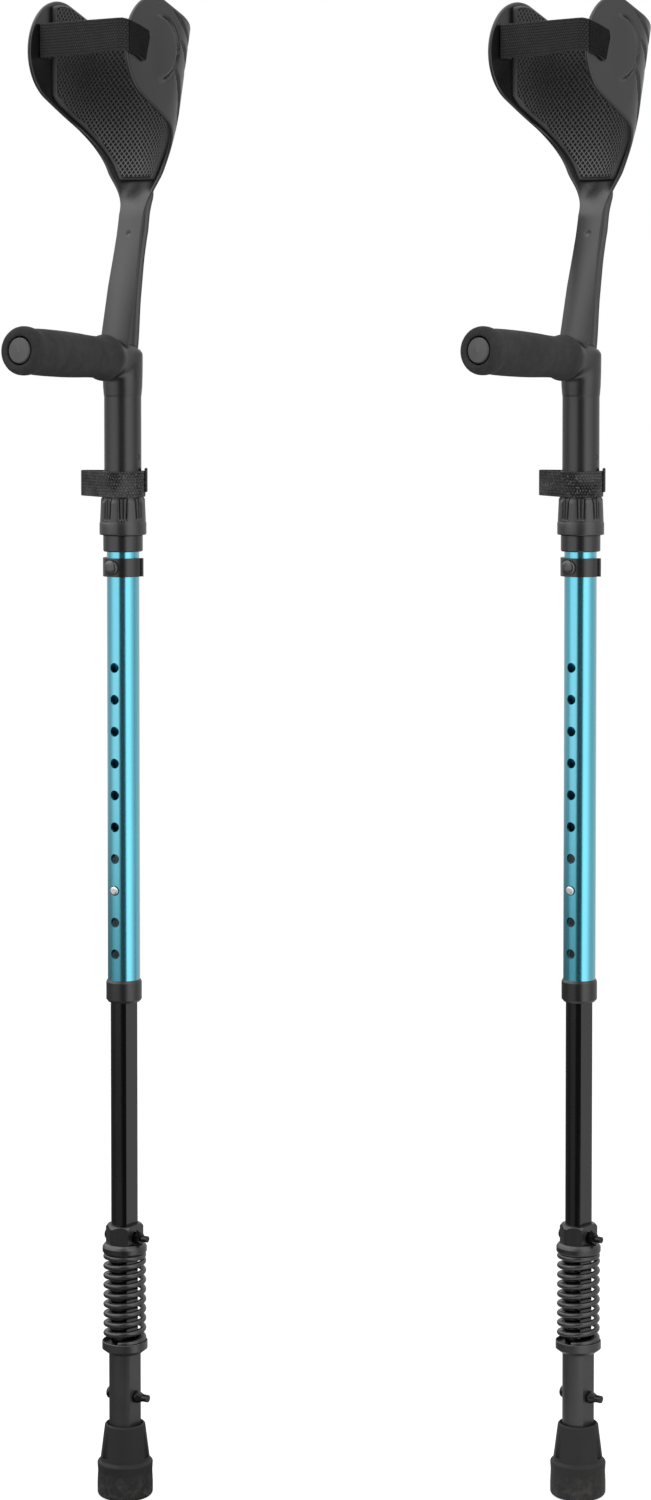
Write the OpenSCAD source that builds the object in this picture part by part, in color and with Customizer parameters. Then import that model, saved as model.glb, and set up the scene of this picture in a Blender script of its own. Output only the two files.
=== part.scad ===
// A pair of folding forearm crutches with sprung feet.
// Each crutch is drawn about its own tube: the tube stands on Z, the handle
// points along -Y, the cuff opens the same way, and bolts cross along X. Then
// each is turned a little toward the other.
// Lengths are millimetres. The ground is z = 0.

/* [Pair] */
// Distance between the two tubes
pair_gap = 358; // [260:1:500]
// Direction from the first crutch to the second, turned from X toward Y
pair_turn = 35; // [0:1:60]
// How far each crutch is turned about its tube toward the other
toe_in = 3.7; // [0:0.1:8]

/* [Ferrule] */
// Height of the rubber ferrule
ferrule_h = 57.5; // [45:0.5:70]
// Radius of the ferrule's tread
ferrule_tread_r = 21.9; // [19:0.1:26]
// Height of the broad tread part
ferrule_tread_h = 28; // [20:0.5:34]
// Radius of the ferrule's neck at the top
ferrule_neck_r = 15.8; // [14.5:0.1:17]
// Rubber under the steel washer
ferrule_floor = 8; // [5:0.5:12]
// Number of recesses round the neck
ferrule_flutes = 3; // [2:1:8]
// Direction of the first recess, turned from the bolts toward the back
flute_turn = 7; // [0:1:60]
// Radius of one recess
flute_r = 3; // [1.5:0.1:4]
// Thickness of the washer inside the ferrule
washer_t = 1.6; // [1:0.1:3]

/* [Shock absorber] */
// Radius of the foot tube
foot_tube_r = 12.5; // [12.1:0.1:13]
// Depth of the flat along the foot tube
foot_tube_flat = 2.6; // [2:0.1:3]
// Length of the foot tube
foot_tube_l = 109.5; // [95:0.5:130]
// Height of the bolt that limits the travel
travel_bolt_z = 79.5; // [70:0.5:95]
// Radius of the cross bolts
bolt_r = 2.5; // [2:0.1:3]
// How far the foot can be pushed in
shock_travel = 15; // [8:0.5:16]
// Distance between the two spring seats
spring_l = 73; // [66:0.5:80]
// Radius of the spring wire
wire_r = 2.25; // [1.5:0.05:2.4]
// Radius of the coil, to the middle of the wire
coil_r = 14.75; // [14.2:0.05:16]
// Number of turns
spring_turns = 8.9; // [6:0.1:9.2]
// Radius of the seats' flanges
seat_r = 17.9; // [17.4:0.1:20]
// Height of the upper seat's flange
seat_flange_h = 7.5; // [6:0.5:12]
// Height of the upper seat's body
seat_body_h = 15; // [12:0.5:25]
// Radius of the upper seat's body
seat_body_r = 15; // [14.6:0.1:17]
// Depth of the flats round the upper seat's body
seat_facet = 1.4; // [0.5:0.1:1.6]

/* [Height tube] */
// Radius of the height tube
tube_r = 10.6; // [9.8:0.1:10.7]
// Wall of the height tube
tube_wall = 1.7; // [1.2:0.1:2]
// Depth of the flat along the height tube
tube_flat = 3.4; // [2:0.1:3.8]
// Length of height tube that shows under the leg
tube_showing = 176.7; // [176.5:0.1:200]
// Tube above the snap button
tube_above_button = 33; // [15:1:35]

/* [Leg] */
// Radius of the leg tube
leg_r = 12.7; // [12.2:0.1:14]
// Length of the leg tube
leg_l = 362; // [340:1:420]
// Number of height holes
hole_count = 10; // [6:1:10]
// Distance from one height hole to the next
hole_pitch = 25; // [20:1:25]
// Radius of a height hole
hole_r = 3.9; // [3.6:0.1:4.5]
// Lowest height hole above the bottom of the bushing
first_hole = 38.7; // [25:0.1:45]
// The height hole in use, counted from the lowest
hole_in_use = 3; // [3:1:5]
// Radius of the snap button
button_r = 3.4; // [2.8:0.1:3.5]
// How far the snap button can be pressed, which is as far as it reaches into the leg's wall
button_press = 4.2; // [3.4:0.1:5]
// Height of the bushing at the foot of the leg
bushing_h = 17.6; // [12:0.1:22]
// Radius of the bushing
bushing_r = 14; // [13.8:0.1:16]
// Height of the clip round the leg
clip_h = 14.4; // [11.5:0.1:16]
// Wall of the clip
clip_wall = 3; // [2:0.1:4]
// Top of the clip below the hinge sleeve
clip_drop = 5; // [3:0.1:12]
// Radius of the clip's round head
clip_head_r = 5.4; // [4:0.1:5.6]
// Angle that the clip leaves open
clip_open = 100; // [70:1:140]

/* [Hinge] */
// Radius of the hinge sleeve on top of the leg
sleeve_r = 15.5; // [15:0.1:16]
// Height of the hinge sleeve
sleeve_h = 13; // [10:0.5:20]
// Height of the spigot that the collar covers
spigot_h = 6; // [5:0.5:6.5]
// Pivot above the top of the spigot
pivot_rise = 2; // [1.8:0.1:2.2]
// Pivot behind the tube axis
pivot_back = 9.8; // [9.6:0.1:9.8]
// Radius of the hinge pin
pin_r = 1.9; // [1.5:0.1:2]
// Thickness of the tongue
tongue_t = 6; // [5:0.5:6]
// Thickness of each fork cheek
cheek_t = 3; // [2.5:0.1:3]
// How far the leg folds back
fold_angle = 160; // [120:1:160]
// Height of the fork above the hinge sleeve
fork_h = 42; // [40:0.5:48]
// Length of the fork's plug in the upper tube
fork_plug_l = 38; // [25:1:50]

/* [Collar and strap] */
// Height of the lock collar's grip
collar_h = 29.4; // [26:0.1:32]
// Radius of the collar's lower ring
collar_r = 18.35; // [17.5:0.05:20]
// Radius of the collar's top
collar_top_r = 17.2; // [16.5:0.1:18]
// Height of the collar's lower ring
collar_ring_h = 9.7; // [6:0.1:12]
// Number of grooves round the collar
collar_grooves = 18; // [10:1:24]
// How far the collar slides up when the leg folds
collar_travel = 54; // [50:1:55]
// Width of the storage strap
band_w = 20.4; // [16:0.2:21]
// Thickness of the storage strap
band_t = 1.7; // [1:0.1:2]
// Reach of the storage strap's loop from the tube axis
band_reach = 39; // [30:1:50]
// Half width of the loop
band_loop = 4.6; // [3.8:0.1:6]

/* [Upper tube and handle] */
// Radius of the upper tube
upper_r = 14.5; // [14.2:0.1:14.8]
// Wall of the upper tube
upper_wall = 2.2; // [1.5:0.1:3]
// Height of the handle axis above the hinge sleeve
handle_rise = 137; // [130:1:170]
// Upward tilt of the handle
handle_tilt = 3.4; // [0:0.1:8]
// Handle length from the tube axis to its end face
handle_l = 137; // [125:1:160]
// Radius of the sleeve that holds the upper tube
boss_r = 15.4; // [15.2:0.1:18]
// Top of the sleeve above the handle axis
boss_rise = 8.2; // [7:0.2:12]
// Radius of the handle's neck beside the tube
boss_neck_r = 15.2; // [13:0.1:16]
// Radius of the handle core inside the grip
core_r = 11; // [10:0.1:12]
// Radius of the grip at its outer ring
grip_end_r = 18.6; // [17.5:0.1:21]
// Radius of the grip's body
grip_body_r = 17.8; // [16.5:0.1:20]
// Radius of the grip at its waist
grip_waist_r = 16; // [14:0.1:16.4]
// Radius of the end cap
end_cap_r = 9.9; // [8.5:0.1:10]
// Thickness of the end cap
end_cap_t = 3.6; // [3:0.1:5]

/* [Stem] */
// Backward lean of the stem
stem_lean = 13; // [8:0.5:16]
// Width of the stem at the handle
stem_w = 29; // [24:0.5:32]
// Width of the stem below the cuff
stem_top_w = 22; // [18:0.5:24]
// Thickness of the front flange
stem_front_t = 3.2; // [2:0.1:4]
// Thickness of the web between the flanges
stem_web_t = 2.8; // [1.5:0.1:4]
// Thickness of the rear flange
stem_rear_t = 3.4; // [2:0.1:5]
// Depth of the groove in each side
stem_groove = 3.4; // [1:0.1:5]

/* [Cuff] */
// Half width of the cuff, outside
cuff_half_w = 46.6; // [40:0.1:55]
// Wall of the cuff
cuff_wall = 3.2; // [2.5:0.1:4.5]
// Start of the cuff above the handle axis
cuff_rise = 117; // [105:1:140]
// Height over which the cuff widens
cuff_flare_h = 80; // [70:1:100]
// Backward lean of the cuff's rear wall
cuff_lean = 13.6; // [8:0.1:16]
// Radius of the wings' round lobes
lobe_r = 42; // [35:0.5:46]
// Height of the lobes' centre above the cuff's start
lobe_rise = 120; // [110:1:130]
// Distance of the lobes' centre in front of the tube axis
lobe_front = 22; // [15:1:30]
// Distance of the front hollow's centre ahead of the lobes' centre
hollow_ahead = 18; // [14:1:24]
// Height of the front hollow's centre above the cuff's start
hollow_rise = 22; // [18:1:26]
// Slope of the rim toward the back
rim_slope = 19.3; // [10:0.1:25]
// Thickness of the pad
pad_t = 4; // [2:0.1:6]
// Height of the pad's lower edge above the cuff's start
pad_rise = 24; // [18:1:32]
// Distance from the cuff's edge to the pad's edge
pad_inset = 3; // [2:0.1:8]
// Distance of the pad's front edge in front of the tube axis
pad_front = 33; // [20:1:40]
// Width of the cuff strap
strap_w = 26.4; // [18:0.2:30]
// Thickness of the cuff strap
strap_t = 1.8; // [1.2:0.1:2.5]
// Middle of the cuff strap above the lobes' centre
strap_rise = 11; // [0:0.5:14]
// Length of the cuff strap's sewn end
strap_sewn = 14; // [10:0.5:20]
// Length of the cuff strap's tail along the wing
strap_tail = 26; // [18:1:34]

/* [Hidden] */
$fn = 64;
// Clearances: running pieces, seated pieces, free air round what moves, webbing,
// and the film that glues the pad
fit = 0.06;
seat = 0.05;
air = 0.3;
soft_gap = 0.3;
glue_film = 0.5;

// Heights, from the ground up
washer_z = ferrule_floor;
foot_tube_z = washer_z + washer_t;
foot_tube_top = foot_tube_z + foot_tube_l;
seat_lip = 1.5;
seat_grip = 5;
seat_rim = 2.8;
spring_z = foot_tube_top + seat_lip;
spring_top = spring_z + spring_l;
seat_flange_top = spring_top + seat_flange_h;
seat_top = seat_flange_top + seat_body_h;
seat_bolt_z = seat_flange_top + seat_body_h / 3;
leg_z = seat_top + tube_showing;
bushing_lip = 2.3;
leg_tube_z = leg_z + bushing_lip;
leg_tube_top = leg_tube_z + leg_l;
button_z = leg_z + first_hole + (hole_in_use - 1) * hole_pitch;
tube_top = button_z + tube_above_button;
tube_under_slot = 12;
tube_z = travel_bolt_z - shock_travel - bolt_r - tube_under_slot;
sleeve_roof = 3;
sleeve_top = leg_tube_top + sleeve_roof;
sleeve_z = sleeve_top - sleeve_h;
spigot_top = sleeve_top + spigot_h;
pivot_z = spigot_top + pivot_rise;
clip_top = sleeve_z - clip_drop;
clip_z = clip_top - clip_h / 2;
collar_top = sleeve_top + collar_h;
neck_top = collar_top + band_w;
fork_top = sleeve_top + fork_h;
handle_z = sleeve_top + handle_rise;
boss_gap = 4.2;
boss_z = neck_top + collar_travel + boss_gap;
boss_top = handle_z + boss_rise;
upper_top = handle_z - boss_neck_r + 1.4;
cuff_z = handle_z + cuff_rise;

// Radii and fits
tube_in_r = tube_r - tube_wall;
foot_bore_r = tube_r + fit;
leg_bore_r = tube_r + fit;
spigot_r = 13.6;
plug_r = leg_bore_r - seat;
plug_l = 47;
plug_in_r = 7;
tongue_r = 4.3;
swing_r = tongue_r + air;
cheek_x = tongue_t / 2 + 0.2;
pin_half_l = cheek_x + cheek_t;
collar_bore_r = upper_r + fit;
neck_r = collar_bore_r + 1.1;
band_in_r = neck_r + air;
band_out_r = band_in_r + band_t;
upper_in_r = upper_r - upper_wall;
fork_plug_r = upper_in_r - seat;
fork_in_r = 8;
clip_in_r = leg_r + seat;
clip_out_r = clip_in_r + clip_wall;
clip_peg_r = 2.5;
rivet_r = 2;
seat_flat_x = tube_r - tube_flat + 3.4;
nut_recess = 1.2;
nut_r = 4.6;
foot_flat_x = foot_tube_r - foot_tube_flat;
tenon_r = 8;
tenon_l = 14;
core_in_r = 8;
cap_proud = 0.4;
core_end = handle_l + cap_proud - end_cap_t;
cuff_half = cuff_half_w - cuff_wall;

SIDES = ["left", "right"];
PIECES = [
    "ferrule", "ferrule_washer", "foot_tube", "travel_bolt", "travel_nut",
    "spring_bottom_seat", "coil_spring", "spring_top_seat", "seat_bolt", "seat_nut",
    "height_tube", "height_button", "tube_bushing", "main_tube", "tube_clip",
    "hinge_knuckle", "hinge_pin", "hinge_fork", "fork_rivet", "lock_collar",
    "storage_strap", "upper_tube", "handle_body", "grip", "grip_end_cap",
    "cuff_shell", "cuff_pad", "cuff_strap"
];

// ---------------------------------------------------------------- helpers

// Points on an arc round c, from angle a to angle b
function arc(c, r, a, b, n = 16) =
    [for (i = [0:n]) [c[0] + r * cos(a + (b - a) * i / n), c[1] + r * sin(a + (b - a) * i / n)]];

// Side faces that join rings of n points
function side_faces(rings, n) = concat(
    [for (i = [0:rings - 2], j = [0:n - 1]) let (k = (j + 1) % n) [i * n + j, (i + 1) * n + j, i * n + k]],
    [for (i = [0:rings - 2], j = [0:n - 1]) let (k = (j + 1) % n) [i * n + k, (i + 1) * n + j, (i + 1) * n + k]]
);

// Faces of a round rod: the sides and a cap on each end
function rod_faces(rings, n) = concat(
    [[for (j = [0:n - 1]) j]],
    side_faces(rings, n),
    [[for (j = [n - 1:-1:0]) (rings - 1) * n + j]]
);

// Faces of a wall whose ring runs along one face and back along the other. The
// two halves of the wall are split into triangles as mirror images.
function wall_faces(rings, n) = let (m = n / 2, top = (rings - 1) * n, half = (n - 2) / 4) concat(
    [for (j = [0:m - 2]) [j, j + 1, n - 2 - j]],
    [for (j = [0:m - 2]) [j, n - 2 - j, n - 1 - j]],
    [for (i = [0:rings - 2], j = [0:n - 1], upper = [0, 1])
        let (k = (j + 1) % n, a = i * n + j, b = i * n + k, c = a + n, d = b + n)
        j < half || j >= n - 1 - half
            ? (upper == 0 ? [a, c, b] : [b, c, d])
            : (upper == 0 ? [a, c, d] : [a, d, b])],
    [for (j = [0:m - 2]) [top + n - 2 - j, top + j + 1, top + j]],
    [for (j = [0:m - 2]) [top + n - 1 - j, top + n - 2 - j, top + j]]
);

// A hole or a shaft of radius r along X, between x0 and x1
module along_x(r, x0, x1) {
    translate([x0, 0, 0]) rotate([0, 90, 0]) cylinder(r = r, h = x1 - x0);
}

// A hole or a shaft of radius r along -Y, between distances d0 and d1 in front
module along_front(r, d0, d1) {
    translate([0, -d0, 0]) rotate([90, 0, 0]) cylinder(r = r, h = d1 - d0);
}

// The section of both lower tubes: a circle with one flat on its +X side
module d_section(r, flat) {
    intersection() {
        circle(r = r);
        translate([-2 * r, -2 * r]) square([3 * r - flat, 4 * r]);
    }
}

// ---------------------------------------------------------------- foot

module ferrule() {
    edge_r = 3.4;
    mouth_h = 3;
    mouth_w = 2;
    profile = concat(
        [[0, 0], [ferrule_tread_r - edge_r, 0]],
        arc([ferrule_tread_r - edge_r, edge_r], edge_r, -80, -10, 6),
        [[ferrule_tread_r, 10], [ferrule_tread_r - 0.4, ferrule_tread_h * 0.7]],
        arc([ferrule_tread_r - 2, ferrule_tread_h - 2], 2, 0, 80, 5),
        [[ferrule_neck_r + 3.7, ferrule_tread_h + 0.8], [ferrule_neck_r + 0.4, ferrule_h - 3]],
        arc([ferrule_neck_r - 1.6, ferrule_h - 1.8], 1.8, 10, 90, 5),
        [[0, ferrule_h]]
    );
    color([0.16, 0.16, 0.17]) difference() {
        rotate_extrude() polygon(profile);
        translate([0, 0, ferrule_floor]) cylinder(r = foot_tube_r + seat, h = ferrule_h);
        translate([0, 0, ferrule_h - mouth_h])
            cylinder(r1 = foot_tube_r + seat, r2 = foot_tube_r + mouth_w, h = mouth_h + 0.01);
        for (r = [6, 11, 16]) translate([0, 0, -1]) difference() {
            cylinder(r = r + 1.6, h = 2.6);
            translate([0, 0, -1]) cylinder(r = r, h = 5);
        }
        for (i = [0:ferrule_flutes - 1]) rotate([0, 0, flute_turn + i * 360 / ferrule_flutes])
            translate([ferrule_neck_r + flute_r + 0.6, 0, ferrule_tread_h + 3])
                cylinder(r = flute_r, h = ferrule_h - ferrule_tread_h - 9, $fn = 24);
    }
}

module ferrule_washer() {
    color("silver") translate([0, 0, washer_z]) difference() {
        cylinder(r = foot_tube_r - 0.2, h = washer_t);
        translate([0, 0, -1]) cylinder(r = 4, h = washer_t + 2);
    }
}

module foot_tube() {
    color([0.2, 0.2, 0.21]) difference() {
        translate([0, 0, foot_tube_z]) linear_extrude(foot_tube_l) difference() {
            d_section(foot_tube_r, foot_tube_flat);
            d_section(foot_bore_r, tube_flat);
        }
        translate([0, 0, travel_bolt_z]) along_x(bolt_r + seat, -2 * foot_tube_r, 2 * foot_tube_r);
    }
}

// A bolt along X with a domed head on the -X side. Its faces stand at +-x.
module cross_bolt(x, past) {
    head_r = 2 * bolt_r;
    along_x(bolt_r, -x, x + past);
    translate([-x, 0, 0]) rotate([0, -90, 0]) rotate_extrude()
        polygon(concat([[0, 0], [head_r, 0], [head_r, 1]], arc([head_r - 2.2, 1], 2.2, 20, 90, 5), [[0, 3.2]]));
}

// A nut on the +X side, seated at x, with a bore for the bolt
module cross_nut(x, w, h) {
    translate([x, 0, 0]) rotate([0, 90, 0]) difference() {
        rotate_extrude() polygon([[0, 0], [w, 0], [w, h * 0.25], [w * 0.62, h * 0.6], [w * 0.62, h], [0, h]]);
        translate([0, 0, -1]) cylinder(r = bolt_r + seat, h = h * 0.8);
    }
}

module travel_bolt() {
    color([0.25, 0.25, 0.26]) translate([0, 0, travel_bolt_z]) cross_bolt(foot_tube_r, 5);
}

module travel_nut() {
    color([0.25, 0.25, 0.26]) translate([0, 0, travel_bolt_z]) cross_nut(foot_flat_x + seat, 4.7, 12);
}

module spring_bottom_seat() {
    under = foot_tube_top - seat_grip;
    color([0.17, 0.17, 0.18]) difference() {
        rotate_extrude() polygon([
            [0, under], [foot_tube_r + 1.4, under], [seat_r, under + 3.1], [seat_r, spring_z + seat_rim - 0.4],
            [seat_r - 0.4, spring_z + seat_rim], [0, spring_z + seat_rim]
        ]);
        translate([0, 0, under - 1]) cylinder(r = foot_tube_r + seat, h = seat_grip + 1);
        translate([0, 0, under - 1]) cylinder(r = foot_bore_r, h = 40);
        translate([0, 0, spring_z]) cylinder(r = coil_r + wire_r + air, h = 40);
    }
}

// Height of the spring's wire after t turns
function wire_height(t) = spring_z + wire_r + air + (spring_l - 2 * (wire_r + air)) * t / spring_turns;

module coil_spring() {
    steps = 15;
    sides = 8;
    first = -76;
    rings = floor(spring_turns * steps) + 1;
    points = [for (i = [0:rings - 1], j = [0:sides - 1])
        let (a = first + 360 * i / steps, b = -360 * j / sides, r = coil_r + wire_r * cos(b))
        [r * cos(a), r * sin(a), wire_height(i / steps) + wire_r * sin(b)]];
    color([0.3, 0.3, 0.31]) polyhedron(points, rod_faces(rings, sides), convexity = 20);
}

module spring_top_seat() {
    color([0.17, 0.17, 0.18]) difference() {
        rotate_extrude() polygon([
            [0, spring_top], [seat_r - 1, spring_top], [seat_r - 0.4, spring_top + 1],
            [seat_r - 0.4, seat_flange_top - 3], [seat_r - 1.4, seat_flange_top - 1.4], [seat_body_r, seat_flange_top],
            [seat_body_r, seat_top - 2.5], [seat_body_r - 1.6, seat_top - 0.4], [seat_body_r - 3, seat_top], [0, seat_top]
        ]);
        translate([0, 0, spring_top - 1]) linear_extrude(seat_top) d_section(tube_r + seat, tube_flat);
        translate([seat_flat_x, -30, seat_flange_top]) cube([20, 60, 40]);
        for (a = [70, 130, -130, -70]) rotate([0, 0, a])
            translate([seat_body_r - seat_facet, -30, seat_flange_top]) cube([20, 60, 40]);
        translate([0, 0, seat_bolt_z]) along_x(nut_r + 1.2, seat_flat_x - nut_recess, 30);
        translate([0, 0, seat_bolt_z]) along_x(bolt_r + seat, -30, 30);
        translate([0, 0, seat_bolt_z]) along_x(2 * bolt_r + air, -30, -seat_body_r + 1.2);
    }
}

module seat_bolt() {
    color([0.25, 0.25, 0.26]) translate([0, 0, seat_bolt_z]) cross_bolt(seat_body_r - 1.2, 8);
}

module seat_nut() {
    nut_h = 6.5;
    color([0.25, 0.25, 0.26]) translate([seat_flat_x - nut_recess + seat, 0, seat_bolt_z]) rotate([0, 90, 0])
        difference() {
            cylinder(r = nut_r, h = nut_h, $fn = 6);
            translate([0, 0, -1]) cylinder(r = bolt_r + seat, h = nut_h + 2);
        }
}

// ---------------------------------------------------------------- height tube

module height_tube() {
    color([0.2, 0.2, 0.21]) difference() {
        translate([0, 0, tube_z]) linear_extrude(tube_top - tube_z) difference() {
            d_section(tube_r, tube_flat);
            d_section(tube_in_r, tube_flat);
        }
        for (s = [0, 1]) translate([0, 0, travel_bolt_z + s * shock_travel]) along_x(bolt_r + air, -30, 30);
        translate([-30, -bolt_r - air, travel_bolt_z]) cube([60, 2 * (bolt_r + air), shock_travel]);
        translate([0, 0, seat_bolt_z]) along_x(bolt_r + seat, -30, 30);
        translate([0, 0, button_z]) along_front(button_r + fit, 0, 30);
    }
}

// The snap button and the bent steel strip that pushes it out
module height_button() {
    strip_t = 0.6;
    strip_w = 6.4;
    arm = 42;
    wall_y = tube_in_r - strip_t - 0.7;
    out = leg_bore_r + button_press - 0.25;
    color("silver") {
        translate([0, 0, button_z]) rotate([90, 0, 0]) rotate_extrude()
            polygon(concat([[0, wall_y - strip_t], [button_r, wall_y - strip_t]],
                arc([button_r - 1.2, out - 1.2], 1.2, 0, 90, 6), [[0, out]]));
        translate([-strip_w / 2, 0, 0]) rotate([90, 0, 90]) linear_extrude(strip_w) polygon([
            [-wall_y, button_z + 6], [-wall_y, button_z - 6], [-1.2, button_z - arm], [1.2, button_z - arm],
            [wall_y, button_z - 4], [wall_y - strip_t, button_z - 4], [0.7, button_z - arm + 1.4],
            [-0.7, button_z - arm + 1.4], [strip_t - wall_y, button_z - 6], [strip_t - wall_y, button_z + 6]
        ]);
    }
}

// ---------------------------------------------------------------- leg

module tube_bushing() {
    top = leg_z + bushing_h;
    color([0.18, 0.18, 0.19]) difference() {
        rotate_extrude() polygon([
            [0, leg_z], [bushing_r - 1.6, leg_z], [bushing_r, leg_z + 2], [bushing_r, top - 2], [bushing_r - 1, top], [0, top]
        ]);
        translate([0, 0, leg_tube_z]) cylinder(r = leg_r + seat, h = bushing_h);
        translate([0, 0, leg_z - 1]) linear_extrude(bushing_lip + 2) d_section(tube_r + fit, tube_flat);
    }
}

module main_tube() {
    color([0.33, 0.66, 0.72]) difference() {
        translate([0, 0, leg_tube_z]) cylinder(r = leg_r, h = leg_l);
        translate([0, 0, leg_tube_z - 1]) cylinder(r = leg_bore_r, h = leg_l + 2);
        for (i = [0:hole_count - 1]) translate([0, 0, leg_z + first_hole + i * hole_pitch])
            along_front(hole_r, 0, 2 * leg_r);
        translate([0, 0, clip_z]) along_front(clip_peg_r + seat, 0, 2 * leg_r);
    }
}

// A spring clip round the leg, whose peg locks the hinge plug in the tube
module tube_clip() {
    open_at = 62;
    lip_t = 1.4;
    lip_out = 1.2;
    color([0.16, 0.16, 0.17]) difference() {
        union() {
            difference() {
                translate([0, 0, clip_z - clip_h / 2]) cylinder(r = clip_out_r, h = clip_h);
                linear_extrude(2 * clip_top) polygon(concat([[0, 0]],
                    arc([0, 0], 3 * clip_out_r, open_at - clip_open / 2, open_at + clip_open / 2, 8)));
            }
            rotate([0, 0, open_at - clip_open / 2]) translate([clip_in_r + 0.3, -lip_t, clip_z - clip_h / 2])
                cube([clip_wall + lip_out, lip_t, clip_h]);
            translate([0, 0, clip_z]) along_front(clip_head_r, clip_in_r + 0.5, clip_out_r + 1.6);
            translate([0, 0, clip_z]) along_front(clip_head_r - 1, clip_in_r + 0.5, clip_out_r + 2.2);
        }
        cylinder(r = clip_in_r, h = 2 * clip_top);
    }
    color([0.16, 0.16, 0.17]) translate([0, 0, clip_z]) along_front(clip_peg_r, plug_in_r + 0.5, clip_in_r + 1);
}

// The leg's half of the hinge: a sleeve and plug on the tube, a spigot and a tongue
module hinge_knuckle() {
    color([0.22, 0.22, 0.23]) difference() {
        union() {
            rotate_extrude() polygon([
                [0, sleeve_z], [sleeve_r - 0.6, sleeve_z], [sleeve_r, sleeve_z + 0.8], [sleeve_r, sleeve_top - 0.5],
                [sleeve_r - 0.5, sleeve_top], [spigot_r, sleeve_top], [spigot_r, spigot_top - 0.6],
                [spigot_r - 0.6, spigot_top], [0, spigot_top]
            ]);
            translate([0, 0, leg_tube_top - plug_l]) cylinder(r = plug_r, h = plug_l);
            intersection() {
                translate([0, pivot_back, pivot_z]) along_x(tongue_r, -tongue_t / 2, tongue_t / 2);
                cylinder(r = upper_r - 0.2, h = 2 * pivot_z);
            }
            translate([-tongue_t / 2, pivot_back - tongue_r, sleeve_top])
                cube([tongue_t, spigot_r - 0.6 - pivot_back + tongue_r - 0.4, pivot_z - sleeve_top]);
        }
        difference() {
            translate([0, 0, sleeve_z - 1]) cylinder(r = leg_r + seat, h = leg_tube_top - sleeve_z + 1);
            translate([0, 0, 0]) cylinder(r = plug_r, h = 2 * sleeve_top);
        }
        translate([0, 0, leg_tube_top - plug_l - 1]) cylinder(r = plug_in_r, h = plug_l - 1);
        translate([0, 0, clip_z]) along_front(clip_peg_r + seat, 0, 2 * leg_r);
        for (s = [-1, 1]) translate([0, pivot_back, pivot_z])
            along_x(swing_r, s > 0 ? tongue_t / 2 : -30, s > 0 ? 30 : -tongue_t / 2);
        translate([0, pivot_back, pivot_z]) along_x(pin_r + fit, -30, 30);
    }
}

module hinge_pin() {
    color("silver") translate([0, pivot_back, pivot_z]) along_x(pin_r, -pin_half_l, pin_half_l);
}

// The upper half of the hinge: a solid front, two cheeks and a plug
module hinge_fork() {
    cut_back = 3.4;
    back_y = pivot_back - cut_back;
    clear_z = pivot_z + 9.6;
    rise = (upper_r - back_y) / tan(180 - fold_angle);
    bottom = spigot_top + 0.1;
    cheek_top = pivot_z + tongue_r - 2 * air;
    color([0.22, 0.22, 0.23]) difference() {
        union() {
            difference() {
                translate([0, 0, bottom]) cylinder(r = upper_r, h = fork_top - bottom);
                rotate([90, 0, 90]) translate([0, 0, -30]) linear_extrude(60) polygon([
                    [back_y, 0], [back_y, clear_z], [upper_r, clear_z + rise], [upper_r + 30, clear_z + rise],
                    [upper_r + 30, 0]
                ]);
            }
            translate([0, 0, fork_top - 1]) cylinder(r = fork_plug_r, h = fork_plug_l + 1);
            intersection() {
                for (s = [-1, 1]) {
                    x0 = s > 0 ? cheek_x : -cheek_x - cheek_t;
                    translate([0, pivot_back, pivot_z]) along_x(tongue_r, x0, x0 + cheek_t);
                    translate([x0, back_y - 2, bottom]) cube([cheek_t, cut_back + 2, cheek_top - bottom]);
                }
                cylinder(r = upper_r, h = 2 * pivot_z);
            }
        }
        translate([0, pivot_back, pivot_z]) along_x(swing_r, -cheek_x, cheek_x);
        translate([-cheek_x, 0, pivot_z - swing_r]) cube([2 * cheek_x, pivot_back, swing_r]);
        translate([-cheek_x, pivot_back - swing_r, 0]) cube([2 * cheek_x, 40, pivot_z]);
        translate([0, pivot_back, pivot_z]) along_x(pin_r + seat, -30, 30);
        translate([0, 0, fork_top]) cylinder(r = fork_in_r, h = fork_plug_l + 1);
        translate([0, 0, rivet_z]) along_x(rivet_r + seat, -30, 30);
    }
}

rivet_z = fork_top + fork_plug_l / 2;
module fork_rivet() {
    color("silver") translate([0, 0, rivet_z]) along_x(rivet_r, 0.4 - upper_r, upper_r - 0.4);
}

// ---------------------------------------------------------------- collar and storage strap

module lock_collar() {
    z = sleeve_top;
    groove_r = 0.9;
    color([0.17, 0.17, 0.18]) difference() {
        rotate_extrude() polygon([
            [0, z + 0.1], [collar_r - 0.8, z + 0.1], [collar_r, z + 1], [collar_r, z + collar_ring_h - 0.8],
            [collar_r - 0.8, z + collar_ring_h], [collar_top_r, collar_top - 1.4],
            [collar_top_r - 1.2, collar_top], [neck_r, collar_top], [neck_r, neck_top], [0, neck_top]
        ]);
        translate([0, 0, z - 1]) cylinder(r = collar_bore_r, h = neck_top);
        for (i = [0:collar_grooves - 1]) rotate([0, 0, i * 360 / collar_grooves])
            translate([collar_top_r + 0.55, 0, z + collar_ring_h + 2])
                cylinder(r = groove_r, h = collar_h - collar_ring_h - 6, $fn = 16);
    }
}

// A band round the collar's neck that runs out along -X to a folded end
module storage_strap() {
    tip = band_reach - band_loop;
    color([0.12, 0.12, 0.13]) translate([0, 0, collar_top + air]) linear_extrude(band_w - air) difference() {
        hull() {
            circle(r = band_out_r);
            translate([-tip, 0]) circle(r = band_loop);
        }
        hull() {
            circle(r = band_in_r);
            translate([-tip, 0]) circle(r = band_loop - band_t);
        }
    }
}

// ---------------------------------------------------------------- upper tube and handle

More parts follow.
